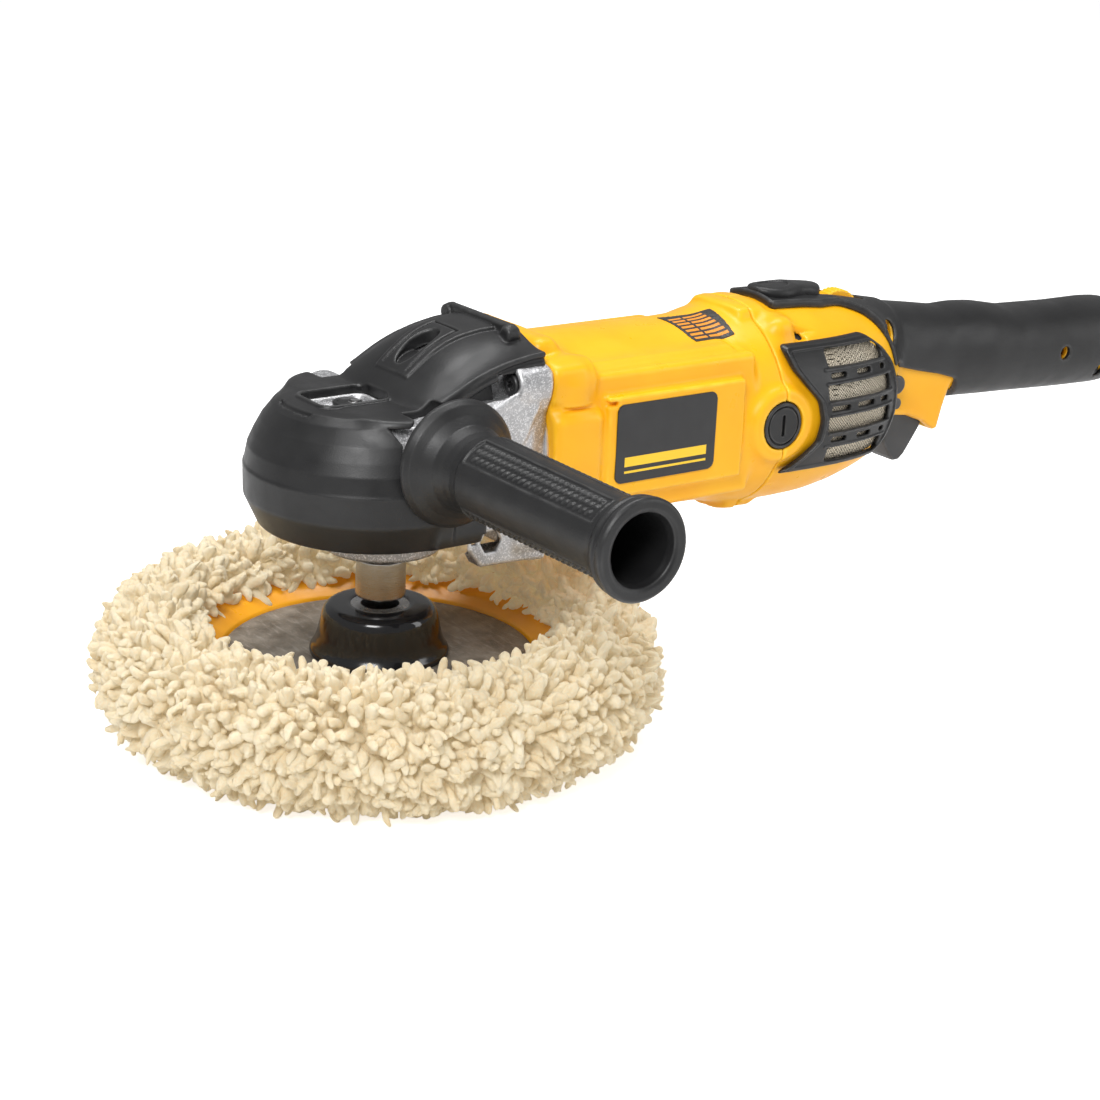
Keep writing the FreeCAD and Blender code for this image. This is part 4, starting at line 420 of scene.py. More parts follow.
def ground_metal(name, along=(1, 1, 40), tint=0.6, rough=0.3, hue=(1.0, 1.0, 1.0)):
    """Ground metal; fine lines run across the axis with the largest factor."""
    n = Nodes(name)

    def shade(*levels):
        return rgb(*(tint * level * share for level, share in zip(levels, hue)))

    lines = n.noise(260.0, 4.0, 0.7, n.stretch(along))
    colour = n.blend(n.spread(lines, 0.3, 0.7), shade(0.8, 0.79, 0.78), shade(1.15, 1.15, 1.15))
    colour = n.blend(n.spread(n.noise(45.0, 5.0), 0.55, 0.8, 0, 0.35), colour, shade(0.5, 0.47, 0.43))
    roughness = n.spread(lines, 0.3, 0.7, rough - 0.08, rough + 0.1)
    return n.finish(colour=colour, metal=1.0, rough=roughness, normal=n.bump(lines, 0.00003, 0.35), aniso=0.4)


def wool_look(name, deep, pale):
    """Undyed wool: painted warm shade in the creases, painted highlight flecks on the strands, a painted glow
    for light scattered in the pile, cream ends, fine fibres.
    """
    n = Nodes(name)
    clumps = n.noise(75.0, 4.0, 0.6)
    strands = n.noise(820.0, 5.0, 0.75)
    colour = n.blend(n.spread(clumps, 0.32, 0.68), deep, pale)
    # Painted highlight: bright cream flecks scattered by the fine strand noise.
    colour = n.blend(n.spread(strands, 0.4, 0.62, 0, 0.45), colour, rgb(0.95, 0.89, 0.74))
    # Painted shade: the colour turns dark brown where the surface folds inward between strands.
    painted_crease_shade = n.spread(n.add("ShaderNodeNewGeometry").outputs["Pointiness"], 0.36, 0.5, 0.55, 0.0)
    colour = n.blend(painted_crease_shade, colour, rgb(0.55, 0.38, 0.16))
    fibres = n.bump(n.noise(2600.0, 4.0, 0.75, n.stretch((1, 1, 0.35))), 0.00035, 0.55)
    # Painted glow: a weak warm emission stands for light scattered inside the pile.
    return n.finish(colour=colour, rough=0.95, normal=n.bump(strands, 0.0016, 0.85, fibres), sheen=0.3,
                    sheen_rough=0.6, shine=0.2, glow=rgb(1.0, 0.8, 0.47), glow_power=0.14)


def disc_look():
    """Worn fibre disc: smears, scuffs and round scratches."""
    n = Nodes("worn_disc")
    cloud = n.noise(95.0, 6.0, 0.65)
    colour = n.blend(n.spread(cloud, 0.3, 0.7), rgb(0.085, 0.075, 0.062), rgb(0.3, 0.265, 0.22))
    streaks = n.noise(400.0, 4.0, 0.7, n.stretch((1, 0.25, 1)))
    colour = n.blend(n.spread(streaks, 0.52, 0.72, 0, 0.5), colour, rgb(0.47, 0.43, 0.38))
    rough = n.spread(cloud, 0.3, 0.7, 0.38, 0.7)
    return n.finish(colour=colour, rough=rough, normal=n.bump(n.noise(700.0, 5.0, 0.7), 0.0005, 0.6))


def mesh_look():
    """Woven steel cloth: two sets of fine wires."""
    n = Nodes("woven_mesh")
    sep = n.add("ShaderNodeSeparateXYZ", {"Vector": n.place})
    rise = n.math("SUBTRACT", sep.outputs["Z"], MOTOR_Z * MM)
    shell_radius = 44 * MM
    girth = n.math("MULTIPLY", n.math("ARCTAN2", rise, n.math("ABSOLUTE", sep.outputs["Y"])), shell_radius)
    wires = 4200.0
    warp = n.math("SINE", n.math("MULTIPLY", n.math("ADD", sep.outputs["X"], girth), wires))
    weft = n.math("SINE", n.math("MULTIPLY", n.math("SUBTRACT", sep.outputs["X"], girth), wires))
    weave = n.math("MAXIMUM", warp, weft)
    colour = n.blend(n.spread(weave, -0.5, 0.9), rgb(0.1, 0.085, 0.065), rgb(0.78, 0.7, 0.56))
    colour = n.blend(n.spread(n.noise(60.0), 0.35, 0.7, 0, 0.35), colour, rgb(0.5, 0.42, 0.3))
    return n.finish(colour=colour, metal=0.55, rough=0.42, normal=n.bump(weave, 0.0002, 0.8))


def label_look(name, field, ink, axis, bars):
    """A printed film with plain bars; each bar is (x low, x high, low, high) in mm, the last two on axis."""
    n = Nodes(name)
    sep = n.add("ShaderNodeSeparateXYZ", {"Vector": n.place})

    def between(value, low, high):
        return n.math("MULTIPLY", n.math("GREATER_THAN", value, low * MM),
                      n.math("LESS_THAN", value, high * MM))

    colour = n.blend(n.spread(n.noise(70.0), 0.3, 0.7), field, rgb(*(1.35 * c for c in field[:3])))
    for x_low, x_high, low, high in bars:
        inside = n.math("MULTIPLY", between(sep.outputs["X"], x_low, x_high),
                        between(sep.outputs[axis], low, high))
        colour = n.blend(inside, colour, ink)
    rough = n.spread(n.noise(120.0, 4.0), 0.3, 0.7, 0.3, 0.45)
    return n.finish(colour=colour, rough=rough, normal=n.bump(n.noise(1500.0), 0.00004, 0.4))


RUBBER = moulded("boot_rubber", rgb(0.009, 0.009, 0.0095), rgb(0.018, 0.018, 0.0185), 0.4, 2200.0, 0.0001,
                 grey(0.07), 0.42)
GRIP = moulded("soft_grip", rgb(0.01, 0.01, 0.0105), rgb(0.019, 0.019, 0.0195), 0.41, 1900.0, 0.00012,
               grey(0.07), 0.42)
BLACK = moulded("black_plastic", rgb(0.008, 0.008, 0.0085), rgb(0.015, 0.015, 0.0155), 0.34, 2600.0, 0.00008,
                grey(0.07), 0.42)
GREY = moulded("trigger_plastic", rgb(0.03, 0.03, 0.031), rgb(0.048, 0.048, 0.05), 0.45, 2400.0, 0.0001,
               grey(0.16))
YELLOW = moulded("yellow_plastic", rgb(0.93, 0.42, 0.005), rgb(0.96, 0.49, 0.008), 0.34, 2300.0, 0.00006,
                 rgb(1.0, 0.62, 0.05), 0.35)
PLATE = moulded("plate_plastic", rgb(0.88, 0.36, 0.006), rgb(0.95, 0.43, 0.01), 0.34, 900.0, 0.00008,
                rgb(1.0, 0.6, 0.06))
HUB = moulded("hub_plastic", rgb(0.006, 0.006, 0.007), rgb(0.012, 0.012, 0.013), 0.14, 600.0, 0.00001,
              None, 0.6)
CAST = cast_metal()
STEEL = ground_metal("ground_steel", tint=0.5)
SHAFT_STEEL = ground_metal("shaft_steel", (40, 1, 1), 0.62)
BLACK_SCREW = moulded("black_oxide", rgb(0.012, 0.012, 0.013), rgb(0.025, 0.025, 0.026), 0.33, 900.0, 0.00004,
                      grey(0.12), 0.7)
COPPER = ground_metal("copper", (1, 1, 12), 0.78, 0.35, (1.0, 0.52, 0.34))
WOOL = wool_look("wool_tufts", rgb(0.82, 0.64, 0.36), rgb(0.95, 0.84, 0.6))
# The core under the tufts is darker wool: its colour is painted shade between the tufts.
WOOL_CORE_SHADE = wool_look("wool_backing", rgb(0.5, 0.36, 0.18), rgb(0.68, 0.53, 0.31))
DISC = disc_look()
MESH = mesh_look()
BOARD = moulded("board_epoxy", rgb(0.02, 0.12, 0.05), rgb(0.04, 0.18, 0.08), 0.35, 700.0, 0.00005)


# ---------------- wool pad and backing
TUFT_RINGS = [(0, 0.8), (0.2, 0.96), (0.42, 1.0), (0.62, 1.0), (0.79, 0.94), (0.92, 0.76), (0.985, 0.42)]
TUFT_SIDES = 8
TUFT_COUNT = 6000


def tuft(rng, length, width):
    """One two-ply strand as rings of points along +Z, curling over to a blunt end."""
    bend = rng.uniform(-0.5, 0.5, 2) * length
    sway = rng.uniform(-0.12, 0.12, 2) * length
    twist = rng.uniform(3.5, 7.0) * rng.choice((-1, 1))
    lobe = rng.uniform(0.16, 0.3)
    phase = rng.uniform(0, 2 * math.pi)
    points = []
    for t, belly in TUFT_RINGS:
        radius = width * belly * rng.uniform(0.88, 1.12)
        middle = bend * t * t + sway * math.sin(2 * math.pi * t)
        for m in range(TUFT_SIDES):
            angle = 2 * math.pi * m / TUFT_SIDES
            r = radius * (1 + lobe * math.cos(2 * (angle - twist * t) + phase))
            points.append((middle[0] + r * math.cos(angle), middle[1] + r * math.sin(angle), length * t))
    points.append((0, 0, -0.05 * length))
    points.append((bend[0], bend[1], 1.01 * length))
    return np.array(points)


def tuft_faces():
    """Faces of one tuft: a tube of quads with a fan of triangles at each end."""
    rings, around = len(TUFT_RINGS), TUFT_SIDES
    faces = []
    for k in range(rings - 1):
        for m in range(around):
            n = (m + 1) % around
            faces.append((k * around + m, k * around + n, (k + 1) * around + n, (k + 1) * around + m))
    last = (rings - 1) * around
    for m in range(around):
        n = (m + 1) % around
        faces.append((n, m, rings * around))
        faces.append((last + m, last + n, rings * around + 1))
    return faces


def pad_rows(profile):
    """Length along the profile, and its point and outward direction at any length."""
    points = np.array(profile, float)
    legs = np.linalg.norm(np.diff(points, axis=0), axis=1)
    reach = np.concatenate([[0], np.cumsum(legs)])

    def point(s):
        return np.array([np.interp(s, reach, points[:, 0]), np.interp(s, reach, points[:, 1])])

    def at(s):
        radius, height = point(s)
        ahead = point(s + 2) - point(s - 2)
        ahead = ahead / max(np.linalg.norm(ahead), 1e-6)
        return radius, height, (ahead[1], -ahead[0])

    return reach[-1], at


def lean_basis(lean):
    """Two directions across a tuft and the one along it, as columns."""
    side = np.cross(lean, (0.3, 0.2, 0.9))
    side = side / np.linalg.norm(side)
    return np.stack([side, np.cross(lean, side), lean], 1)


def place_tuft(rng, at, s, angle):
    """Points of one tuft rooted at length s along the pad's profile."""
    radius, height, (out, up) = at(s + rng.uniform(-1.5, 1.5))
    angle = angle + rng.uniform(-0.02, 0.02)
    under = height < 6 and radius < 90
    size = rng.uniform(5.5, 7.5) if under else rng.uniform(9.5, 14.5)
    width = rng.uniform(1.8, 2.7)
    radial = np.array([math.cos(angle), math.sin(angle), 0])
    sideways = np.array([-math.sin(angle), math.cos(angle), 0])
    tilt = rng.normal(0, 0.38, 2)
    direction = out * radial + up * np.array([0, 0, 1.0])
    droop = np.array([0, 0, 0 if under else -0.15])
    lean = direction + tilt[0] * sideways + tilt[1] * np.cross(sideways, direction) + droop
    root = radius * radial + np.array([0, 0, height]) - direction * (3.0 if under else 4.2)
    shape = tuft(rng, size, width) @ lean_basis(lean / np.linalg.norm(lean)).T + root
    floor_gap = 0.4
    low = shape[:, 2] < floor_gap
    shape[low, 2] = floor_gap + 0.1 * (shape[low, 2] - floor_gap)
    return shape


def wool_pad():
    """Tufts spread evenly over the pad's outside by a golden-angle spiral, and a core under them coloured as
    painted shade between the tufts.
    """
    rng = np.random.default_rng(7)
    profile = [(4, 4), (60, 3.5), (86, 4.5), (98, 10), (106.5, 19), (108.5, 28), (106, 38), (99, 46),
               (89, 49), (82, 47.5), (78, 42), (76.5, 37)]
    length, at = pad_rows(profile)
    rows = np.linspace(0, length, 400)
    sparse_under = 0.62
    weight = np.array([at(s)[0] * (1.0 if at(s)[1] > 6 or at(s)[0] > 88 else sparse_under) for s in rows])
    total = np.concatenate([[0], np.cumsum((weight[1:] + weight[:-1]) / 2 * np.diff(rows))])
    places = np.interp((np.arange(TUFT_COUNT) + 0.5) / TUFT_COUNT * total[-1], total, rows)
    golden = math.pi * (3 - math.sqrt(5))
    shapes = [place_tuft(rng, at, s, k * golden) for k, s in enumerate(places)]
    one, points = tuft_faces(), len(shapes[0])
    faces = [[v + k * points for v in face] for k in range(TUFT_COUNT) for face in one]
    new_piece("wool_tufts", np.concatenate(shapes), faces, "spindle_unit", WOOL, ("wool_pad",))
    base = [(0, 1.5), (60, 1.5), (90, 3), (103, 12), (107, 22), (107, 32), (102, 42), (92, 46.5), (84, 46),
            (79, 41), (78, 37), (88, 38.5), (91, 35), (91, 26), (83, 19.2), (0, 19.2)]
    # The core's darker colour is painted shade seen between the tufts.
    lathe("wool_backing", rounded(base, 2.0), "spindle_unit", WOOL_CORE_SHADE)


def backing():
    """The yellow plate that grips the pad, the worn disc on it and the hub."""
    rim = [(0, 20), (82, 20), (90, 27), (90, 35), (86, 38), (74, 36), (70, 34.2), (65.2, 30.6), (64.6, 28.6),
           (0, 28)]
    disc = [(24, 28.2), (64, 28.2), (64, 30), (62.6, 30.4), (40, 30.2), (24, 30.2)]
    hub = [(12.1, 30.3), (28.5, 30.3), (28.5, 32.4), (26.9, 34.6), (25.6, 38), (23.6, 47), (22.6, 49.6),
           (20.4, 51), (13.4, 51.3), (11.8, 51.1), (11.8, 50)]
    lathe("backing_plate_rim", rounded(rim, 1.2, 4), "spindle_unit", PLATE, ("backing_plate",), 240)
    lathe("fibre_disc", rounded(disc, 0.4), "spindle_unit", DISC, ("backing_disc",), 200)
    lathe("hub", rounded(hub, 1.5, 5), "spindle_unit", HUB, ("backing_hub",), 160)


# ---------------- spindle and bearing retainer
SPINDLE = [(0, 31.6), (7.9, 31.6), (7.9, 51), (11.5, 51), (11.5, 52.5), (11, 53), (10.2, 53.3), (10.2, 76),
           (9.5, 76), (9.5, 80), (8.5, 80), (8.5, 104), (8, 104), (8, 124), (5, 124), (5, 131), (0, 131)]


def spindle_field(p):
    """The bar with its wrench flats, turned a little from the square."""
    turn = math.radians(12)
    x = p[0] * math.cos(turn) + p[1] * math.sin(turn)
    y = -p[0] * math.sin(turn) + p[1] * math.cos(turn)
    bar = turned(p, "z", (0, 0), SPINDLE)
    flats = box((x, y, p[2]), (-8.5, -8.5, 55), (8.5, 8.5, 71), 0.4)
    outside = np.maximum(55 - p[2], p[2] - 71)
    return meet(bar, join(flats, outside, 0.3), 0.3)


def spindle():
    skin("spindle_bar", spindle_field, (-12, -12, 31), (12, 12, 132), 0.45, "spindle_unit", STEEL,
         ("spindle",))


def retainer():
    """The plate that holds the lower spindle bearing."""
    corners = rounded([(11, 76), (23.5, 76), (24.2, 77), (24.2, 84.5), (26, 87.2), (35.5, 87.5), (36.5, 88.5),
                       (36.5, 91), (20.1, 91), (20.1, 79.8), (11, 79.8)], 0.9, 3)
    lathe("bearing_retainer", corners, "tool_body", CAST, ("spindle_bearing_retainer",), 160)


# ---------------- rubber boot
HUMP_TOP = [(-14, 135), (-6, 139.4), (0, 145.2), (7, 151.4), (14, 156.8), (20, 160), (26, 162.2), (35, 164),
            (45, 164.6), (54, 164.8)]
LIP = [(-4, 138), (2, 140.6), (8, 143.6), (14, 147), (20, 150), (26, 152.4), (35, 155), (45, 156.8),
       (54, 157.4)]
HEAD = [(0, 87), (45, 88), (46, 89), (51, 99.6), (51.2, 100.6), (51.4, 112), (50.9, 113), (49.6, 119.6),
        (47.4, 124.6), (44.4, 130.2), (40, 136), (36.4, 138.8), (32, 140), (0, 140)]
HEAD_INSIDE = [(0, 80), (39.5, 80), (41.5, 91), (47, 100), (47, 113), (44, 125), (38.6, 134.4), (34, 136.6),
               (0, 136.6)]


def hump_arch(p, drop, width=36.0, power=2.8):
    """The arched cover over the intermediate gear, drop below its own outer face."""
    x, y, z = p
    top = flow(x, HUMP_TOP, 7) - drop
    u, v = np.abs(y) / (width - drop), np.maximum(z - 132, 0) / np.maximum(top - 132, 1)
    q = (u ** power + v ** power + 1e-9) ** (1 / power)
    middle_radius = 24
    return (q - 1) * middle_radius


def window_plan(p, half_length, half_width, r):
    """Distance in plan to the rounded window over the lock button."""
    return corner_distance(np.abs(p[0] + 18.5) - half_length, np.abs(p[1]) - half_width, r)


def boot_deck(p):
    """The flat top of the head, reaching out over both notches."""
    x, y, z = p
    plan = np.hypot(np.maximum(-9 - x, 0), np.maximum(np.abs(y) - 26.4, 0)) - 16
    deck = meet(plan, z - 140, 4)
    return meet(deck, np.maximum(112 - z, x - 16), 2)


def boot_lip(p):
    """The double ridge along each side of the hump."""
    x, y, z = p
    side = np.abs(y)
    edge = flow(x, [(0, 33.8), (14, 35), (45, 36), (54, 36.4)], 5)
    rise = z - flow(x, LIP, 7)
    ledge = meet(side - edge, np.maximum(rise - 1.4, -5.0 - rise), 1.0)
    ledge = carve(ledge, np.hypot(side - edge - 0.1, rise + 1.7) - 1.0, 0.4)
    return meet(ledge, 0.5 - x, 2)


def boot_solid(p):
    """The boot before it is hollowed: head, waist, cheeks and hump."""
    x, y, z = p
    side = np.abs(y)
    head = turned(p, "z", (HEAD_X, 0), HEAD)
    waist = prism(p, [(-5, 88.6), (16, 88.6), (16, 104), (46, 120), (46, 139.5), (-5, 139.5)], -43, 43, 5)
    cheek = box(p, (-6, -50.4, 89), (17, 50.4, 112.6), 1.5)
    cheek = meet(cheek, side + (93 - z) * 0.45 - 50.4, 1.0)
    body = join(join(head, boot_deck(p), 7), waist, 3)
    body = join(body, cheek, 2.5)
    body = meet(body, z - 140, 1.2)
    lip_z = flow(x, LIP, 7)
    arch = meet(hump_arch(p, 0), lip_z - 1.2 - z, 0.8)
    wall = meet(hump_arch(p, 3.2), 133 - z, 0.5)
    hump = join(join(arch, wall, 1.0), boot_lip(p), 3.5)
    hump = meet(hump, np.maximum(x - 52, -14 - x), 1.5)
    return join(body, hump, 1.6)


def boot_details(p, d):
    """The band over the hump with its dish, the bar at the rear and the lip round the window."""
    x, y, z = p
    side = np.abs(y)
    band = meet(hump_arch(p, -1.2), side - 11.5 - np.maximum(x, 0) * 0.06, 0.6)
    band = meet(band, np.maximum(2.5 - x, x - 42), 0.6)
    d = join(d, band, 0.4)
    pit = (np.hypot((x - 15) / 9.4, y / 5.6) - 1) * 5.6
    depth = np.clip(0.6 + (x - 5.5) * 0.3, 0.3, 4.2)
    d = carve(d, np.maximum(pit, -hump_arch(p, 0) - depth), 0.9)
    frame_line = meet(np.abs(side - 8.6) - 0.5, np.maximum(4.0 - x, x - 28), 0.3)
    cross_line = meet(np.abs(x - 28) - 0.5, side - 8.8, 0.3)
    d = carve(d, np.maximum(join(frame_line, cross_line), -0.2 - hump_arch(p, -1.2) - 0.7), 0.3)
    bar = box(p, (42.6, -22.5, 158), (46.4, 22.5, 167.2), 1.2)
    for at in (-21.5, 21.5):
        bar = join(bar, rod(p, "x", (at, 163.2), 41.2, 47.4, 3.4, 1.2), 1.0)
    d = join(d, bar, 1.0)
    front_arc = np.maximum(np.abs(np.hypot(x + 5, y) - 37) - 0.6, np.maximum(side - 11.5, x + 30))
    d = carve(d, np.maximum(front_arc, -0.8 - d), 0.4)
    lip = np.abs(window_plan(p, 15.9, 12.1, 5.6)) - 1.0
    return join(d, meet(lip, np.maximum(z - 140.9, 137 - z), 0.6), 0.6)


def boot_openings(p):
    """All that is cut through the boot."""
    x, side, z = mirrored(p)
    notch = np.maximum(np.maximum(-21.5 - x + (137 - z) * 0.6, 34.6 - side), 107.5 - z)
    under_lip = np.maximum(np.maximum(8 - x, 34.6 - side), np.maximum(107.5 - z, z - flow(x, LIP, 7) + 5.0))
    cuts = [
        rod(p, "z", (0, 0), 80, 92, 37.4),
        np.maximum(window_plan(p, 15, 11.2, 5), 130 - z),
        np.maximum(notch, z - 137),
        under_lip,
        rod(mirrored(p), "y", (0, HANDLE_Z), 30, 60, 19.0),
        np.maximum(np.abs(x - 1.5) - 0.35, np.maximum(49.6 - side, z - 103.5)),
        box(p, (43.4, -60, 60), (60, 60, 151.5)),
        rod(mirrored(p), "x", SCREW_HIGH, 30, 60, 5.6),
        box(p, (15.2, -60, 60), (60, 60, 92.5)),
    ]
    return np.minimum.reduce(cuts)


def boot_field(p):
    """The boot as a shell over the gear case."""
    x, _, z = p
    d = boot_details(p, boot_solid(p))
    inner = turned(p, "z", (HEAD_X, 0), HEAD_INSIDE)
    inner = join(inner, box(p, (5, -39.5, 80), (60, 39.5, 136.4)), 1)
    inner = join(inner, meet(hump_arch(p, 5.0), np.maximum(130 - z, -8 - x), 0.5), 1)
    d = carve(d, inner, 0.6)
    return carve(d, boot_openings(p), 0.7)


def boot():
    skin("boot", boot_field, (-58, -52, 86), (54, 52, 168), 0.7, "tool_body", RUBBER, ("gear_case_boot",), 3)


# ---------------- gear case
def case_field(p):
    """The casting before its holes are cut."""
    both = mirrored(p)
    x, _, z = p
    head = turned(p, "z", (-4, 0), [(0, 91), (43, 91), (46, 99), (46.2, 113), (43.5, 125), (38, 136),
                                    (0, 136)])
    waist = box(p, (5, -38, 92), (47, 38, 136), 3)
    hump = meet(hump_arch(p, 6.0), 130 - z, 0.5)
    hump = meet(hump, np.maximum(x - 50, -9 - x), 1)
    flange = box(p, (45, -38.5, 74), (53, 38.5, 151.5), 2)
    flange = carve(flange, box(both, (40, 35, 92), (60, 60, 136), 4), 3)
    lug_high = rod(both, "x", SCREW_HIGH, 37.6, 53, 7.6, 1.2)
    lug_low = rod(both, "x", SCREW_LOW, 37.6, 53, 7.6, 1.2)
    block = box(both, (40, 24, 140), (53, 39.6, 151.2), 1.8)
    d = join(join(head, waist, 4), hump, 2)
    d = join(d, join(flange, join(lug_high, block, 1.5), 3), 6)
    web = prism(both, [(12, 137), (44, 148), (53, 148), (53, 100), (30, 96), (12, 118)], 30, 36.5, 3)
    rib_corners = [(20, 136), (40, 146), (47, 146), (47, 137), (40, 122), (33, 112), (29, 112), (30, 124)]
    rib = prism(both, rib_corners, 34, 39, 1.5)
    arm = prism(p, [(15.6, 93), (15.6, 82.5), (22, 74.5), (53, 73.6), (53, 93)], -39.2, 39.2, 1.5)
    arm = carve(arm, box(p, (10, -29, 60), (60, 29, 91)), 2)
    d = join(join(d, web, 3), rib, 2)
    d = join(join(d, arm, 3), lug_low, 3)
    boss = rod(both, "y", (0, HANDLE_Z), 30, 50.6, 12.5, 1)
    d = join(d, boss, 4)
    rim = meet(window_plan(p, 14.9, 11.1, 5), np.maximum(z - 137.6, 130 - z), 1.2)
    return join(d, rim, 0.8)


def case_cuts(p):
    """Bores, screw holes and the window's basin."""
    both = mirrored(p)
    x, side, z = both
    cuts = [
        rod(p, "z", (0, 0), 60, 131.2, 28.5),
        rod(p, "z", (0, 0), 60, 91.2, 37.2),
        rod(p, "x", (0, SHAFT_Z), 13.4, 54, 13.3),
        rod(p, "x", (0, SHAFT_Z), 38, 60, 17.6),
        rod(p, "x", (0, MOTOR_Z), 39, 60, 9),
        meet(window_plan(p, 13.4, 9.8, 5), 133.9 - z, 6),
        rod(p, "z", (LOCK_X, 0), 131.4, 150, 6.9),
        rod(both, "x", SCREW_HIGH, 10, 60, 2.2),
        rod(both, "x", SCREW_LOW, 10, 60, 2.2),
        rod(both, "x", SCREW_LOW, 10, 40.5, 4.9),
        rod(both, "x", SCREW_HIGH, 10, 40.5, 5.3),
        rod(both, "y", (0, HANDLE_Z), 36, 60, 4.05),
        np.maximum(hexagon(x - 26.5, z - 84.6, 4.3), 31 - side),
        box(both, (17.3, 37.6, 84.5), (19.4, 60, 87), 0.4),
        box(both, (37, 37.6, 85), (44, 60, 89.5), 1.6),
    ]
    return np.minimum.reduce(cuts)


def gear_case():
    def field(p):
        return carve(case_field(p), case_cuts(p), 0.8)

    skin("gear_case_casting", field, (-52, -52, 72), (54, 52, 162), 0.8, "tool_body", CAST, ("gear_case",), 2)


def torx_screw(p, at, radius=4.5, seat=40.5):
    """A round-edged head facing -X with a six-lobed socket."""
    x, y, z = p[0], p[1] - at[0], p[2] - at[1]
    head = rod((x, y, z), "x", (0, 0), seat - 3.6, seat, radius, 0.7)
    shank = rod((x, y, z), "x", (0, 0), seat, seat + 28, 2.15)
    angle = np.arctan2(y, z)
    socket = np.maximum(np.hypot(y, z) - (1.95 + 0.45 * np.cos(6 * angle)), x - (seat - 1.4))
    return carve(join(head, shank), socket, 0.15)


def case_screws():
    def field(p):
        both = mirrored(p)
        return np.minimum(torx_screw(both, SCREW_LOW), torx_screw(both, SCREW_HIGH))

    skin("case_screws", field, (36, -38, 79), (69, 38, 151), 0.4, "tool_body", BLACK_SCREW,
         ("gear_case_screws",), 1)


def lock_button():
    def field(p):
        cap = rod(p, "z", (LOCK_X, 0), 136.1, 138.2, 6.0, 0.9)
        return carve(cap, rod(p, "z", (LOCK_X, 0), 137.6, 150, 4.2, 0.4), 0.7)

    skin("lock_button_cap", field, (-24, -7, 135.6), (-10, 7, 138.4), 0.35, "lock_unit", BLACK,
         ("lock_button",), 2)


# ---------------- motor housing
BARREL_RADIUS = [(50, 42.2), (86, 41.3), (114, 40.9), (140, 40.6), (152, 41), (163, 43.3), (173, 44.4),
                 (190, 44.6)]
CROWN_RISE = [(50, 41.5), (90, 41.0), (150, 40.8), (158, 42.5), (166, 46.2), (190, 46.6)]


def cap_boss(p, radius, start, stop, r=0.0):
    """A round boss on the brush caps' axis, both sides."""
    return rod(mirrored(p), "y", BRUSH_CAP, start, stop, radius, r)


def housing_outside(p):
    """The motor housing's outer face: barrel, crown, flat side panels, collar and screw bosses."""
    both = mirrored(p)
    x, side, z = both
    rise = z - MOTOR_Z
    barrel = np.hypot(side, rise) - flow(x, BARREL_RADIUS, 9)
    top_flat = rise - flow(x, CROWN_RISE, 7)
    crown = meet(barrel - 3.2, side - 17, 3)
    crown = meet(crown, 165 - x + side * 0.1, 2)
    crown = meet(crown, top_flat, 1.5)
    barrel = join(barrel, crown, 3)
    panel = box(both, (79.5, 0, 95.5), (151, 43.0, 137.6), 1.2)
    cheek = box(both, (60, 0, 86), (160, 38.6, 147), 3)
    d = join(join(barrel, cheek, 4), panel, 3)
    shoulder = box(both, (60, 0, 120), (153, 33, 149.6), 4)
    d = join(d, shoulder, 3)
    collar = box(both, (53, 0, 76), (76, 42.6, 154.5), 11)
    collar = meet(collar, side + np.abs(rise) - 74.5, 4)
    upper = box(both, (53, 0, 136.5), (70, 41.2, 152.5), 3.5)
    pillar = box(both, (53, 0, 79), (78, 43.6, 133.5), 4.5)
    groove = box(both, (58, 40.4, 134.2), (84, 60, 135.8), 0.6)
    low_boss = rod(both, "x", SCREW_LOW, 53, 76, 8.4, 2)
    high_boss = rod(both, "x", SCREW_HIGH, 53, 74, 8.0, 2)
    roof = box(p, (53, -27, 140), (66, 27, 160.6), 5)
    d = join(d, join(collar, roof, 5), 5)
    d = join(d, join(upper, pillar, 2), 2.5)
    d = join(d, join(low_boss, high_boss), 3)
    d = carve(d, groove, 1.2)
    return join(d, cap_boss(p, BOSS_RADIUS, 20, 44.2, 2.2), 4.5)


def housing_field(p):
    """The motor housing's shell between its two seams."""
    d = carve(housing_outside(p), rod(p, "x", (0, MOTOR_Z), 40, 190, 38), 0.4)
    d = carve(d, cap_boss(p, 10.6, 28, 60, 0.3), 0.5)
    d = meet(d, 53.3 - p[0], 0.8)
    return meet(d, p[0] - SEAM_X + 0.25, 0.5)


def motor_housing():
    skin("motor_housing_shell", housing_field, (53, -46, 70), (174, 46, 164), 0.8, "tool_body", YELLOW,
         ("motor_housing",), 3)


def brush_caps():
    def field(p):
        cap = cap_boss(p, 10.1, 38.3, 44.9, 0.7)
        groove = carve(cap_boss(p, 8.6, 44.0, 50), cap_boss(p, 7.9, 30, 50))
        x, z = BRUSH_CAP
        slot = box(mirrored(p), (x - 0.85, 43.2, z - 4.6), (x + 0.85, 50, z + 4.6), 0.5)
        return carve(carve(cap, groove, 0.3), slot, 0.3)

    for side, low, high in (("near", -46, -38), ("far", 38, 46)):
        stands = ("brush_caps",) if side == "near" else ()
        skin("brush_cap_" + side, field, (160, low, 104), (183, high, 126), 0.4, "tool_body", BLACK,
             stands, 2)


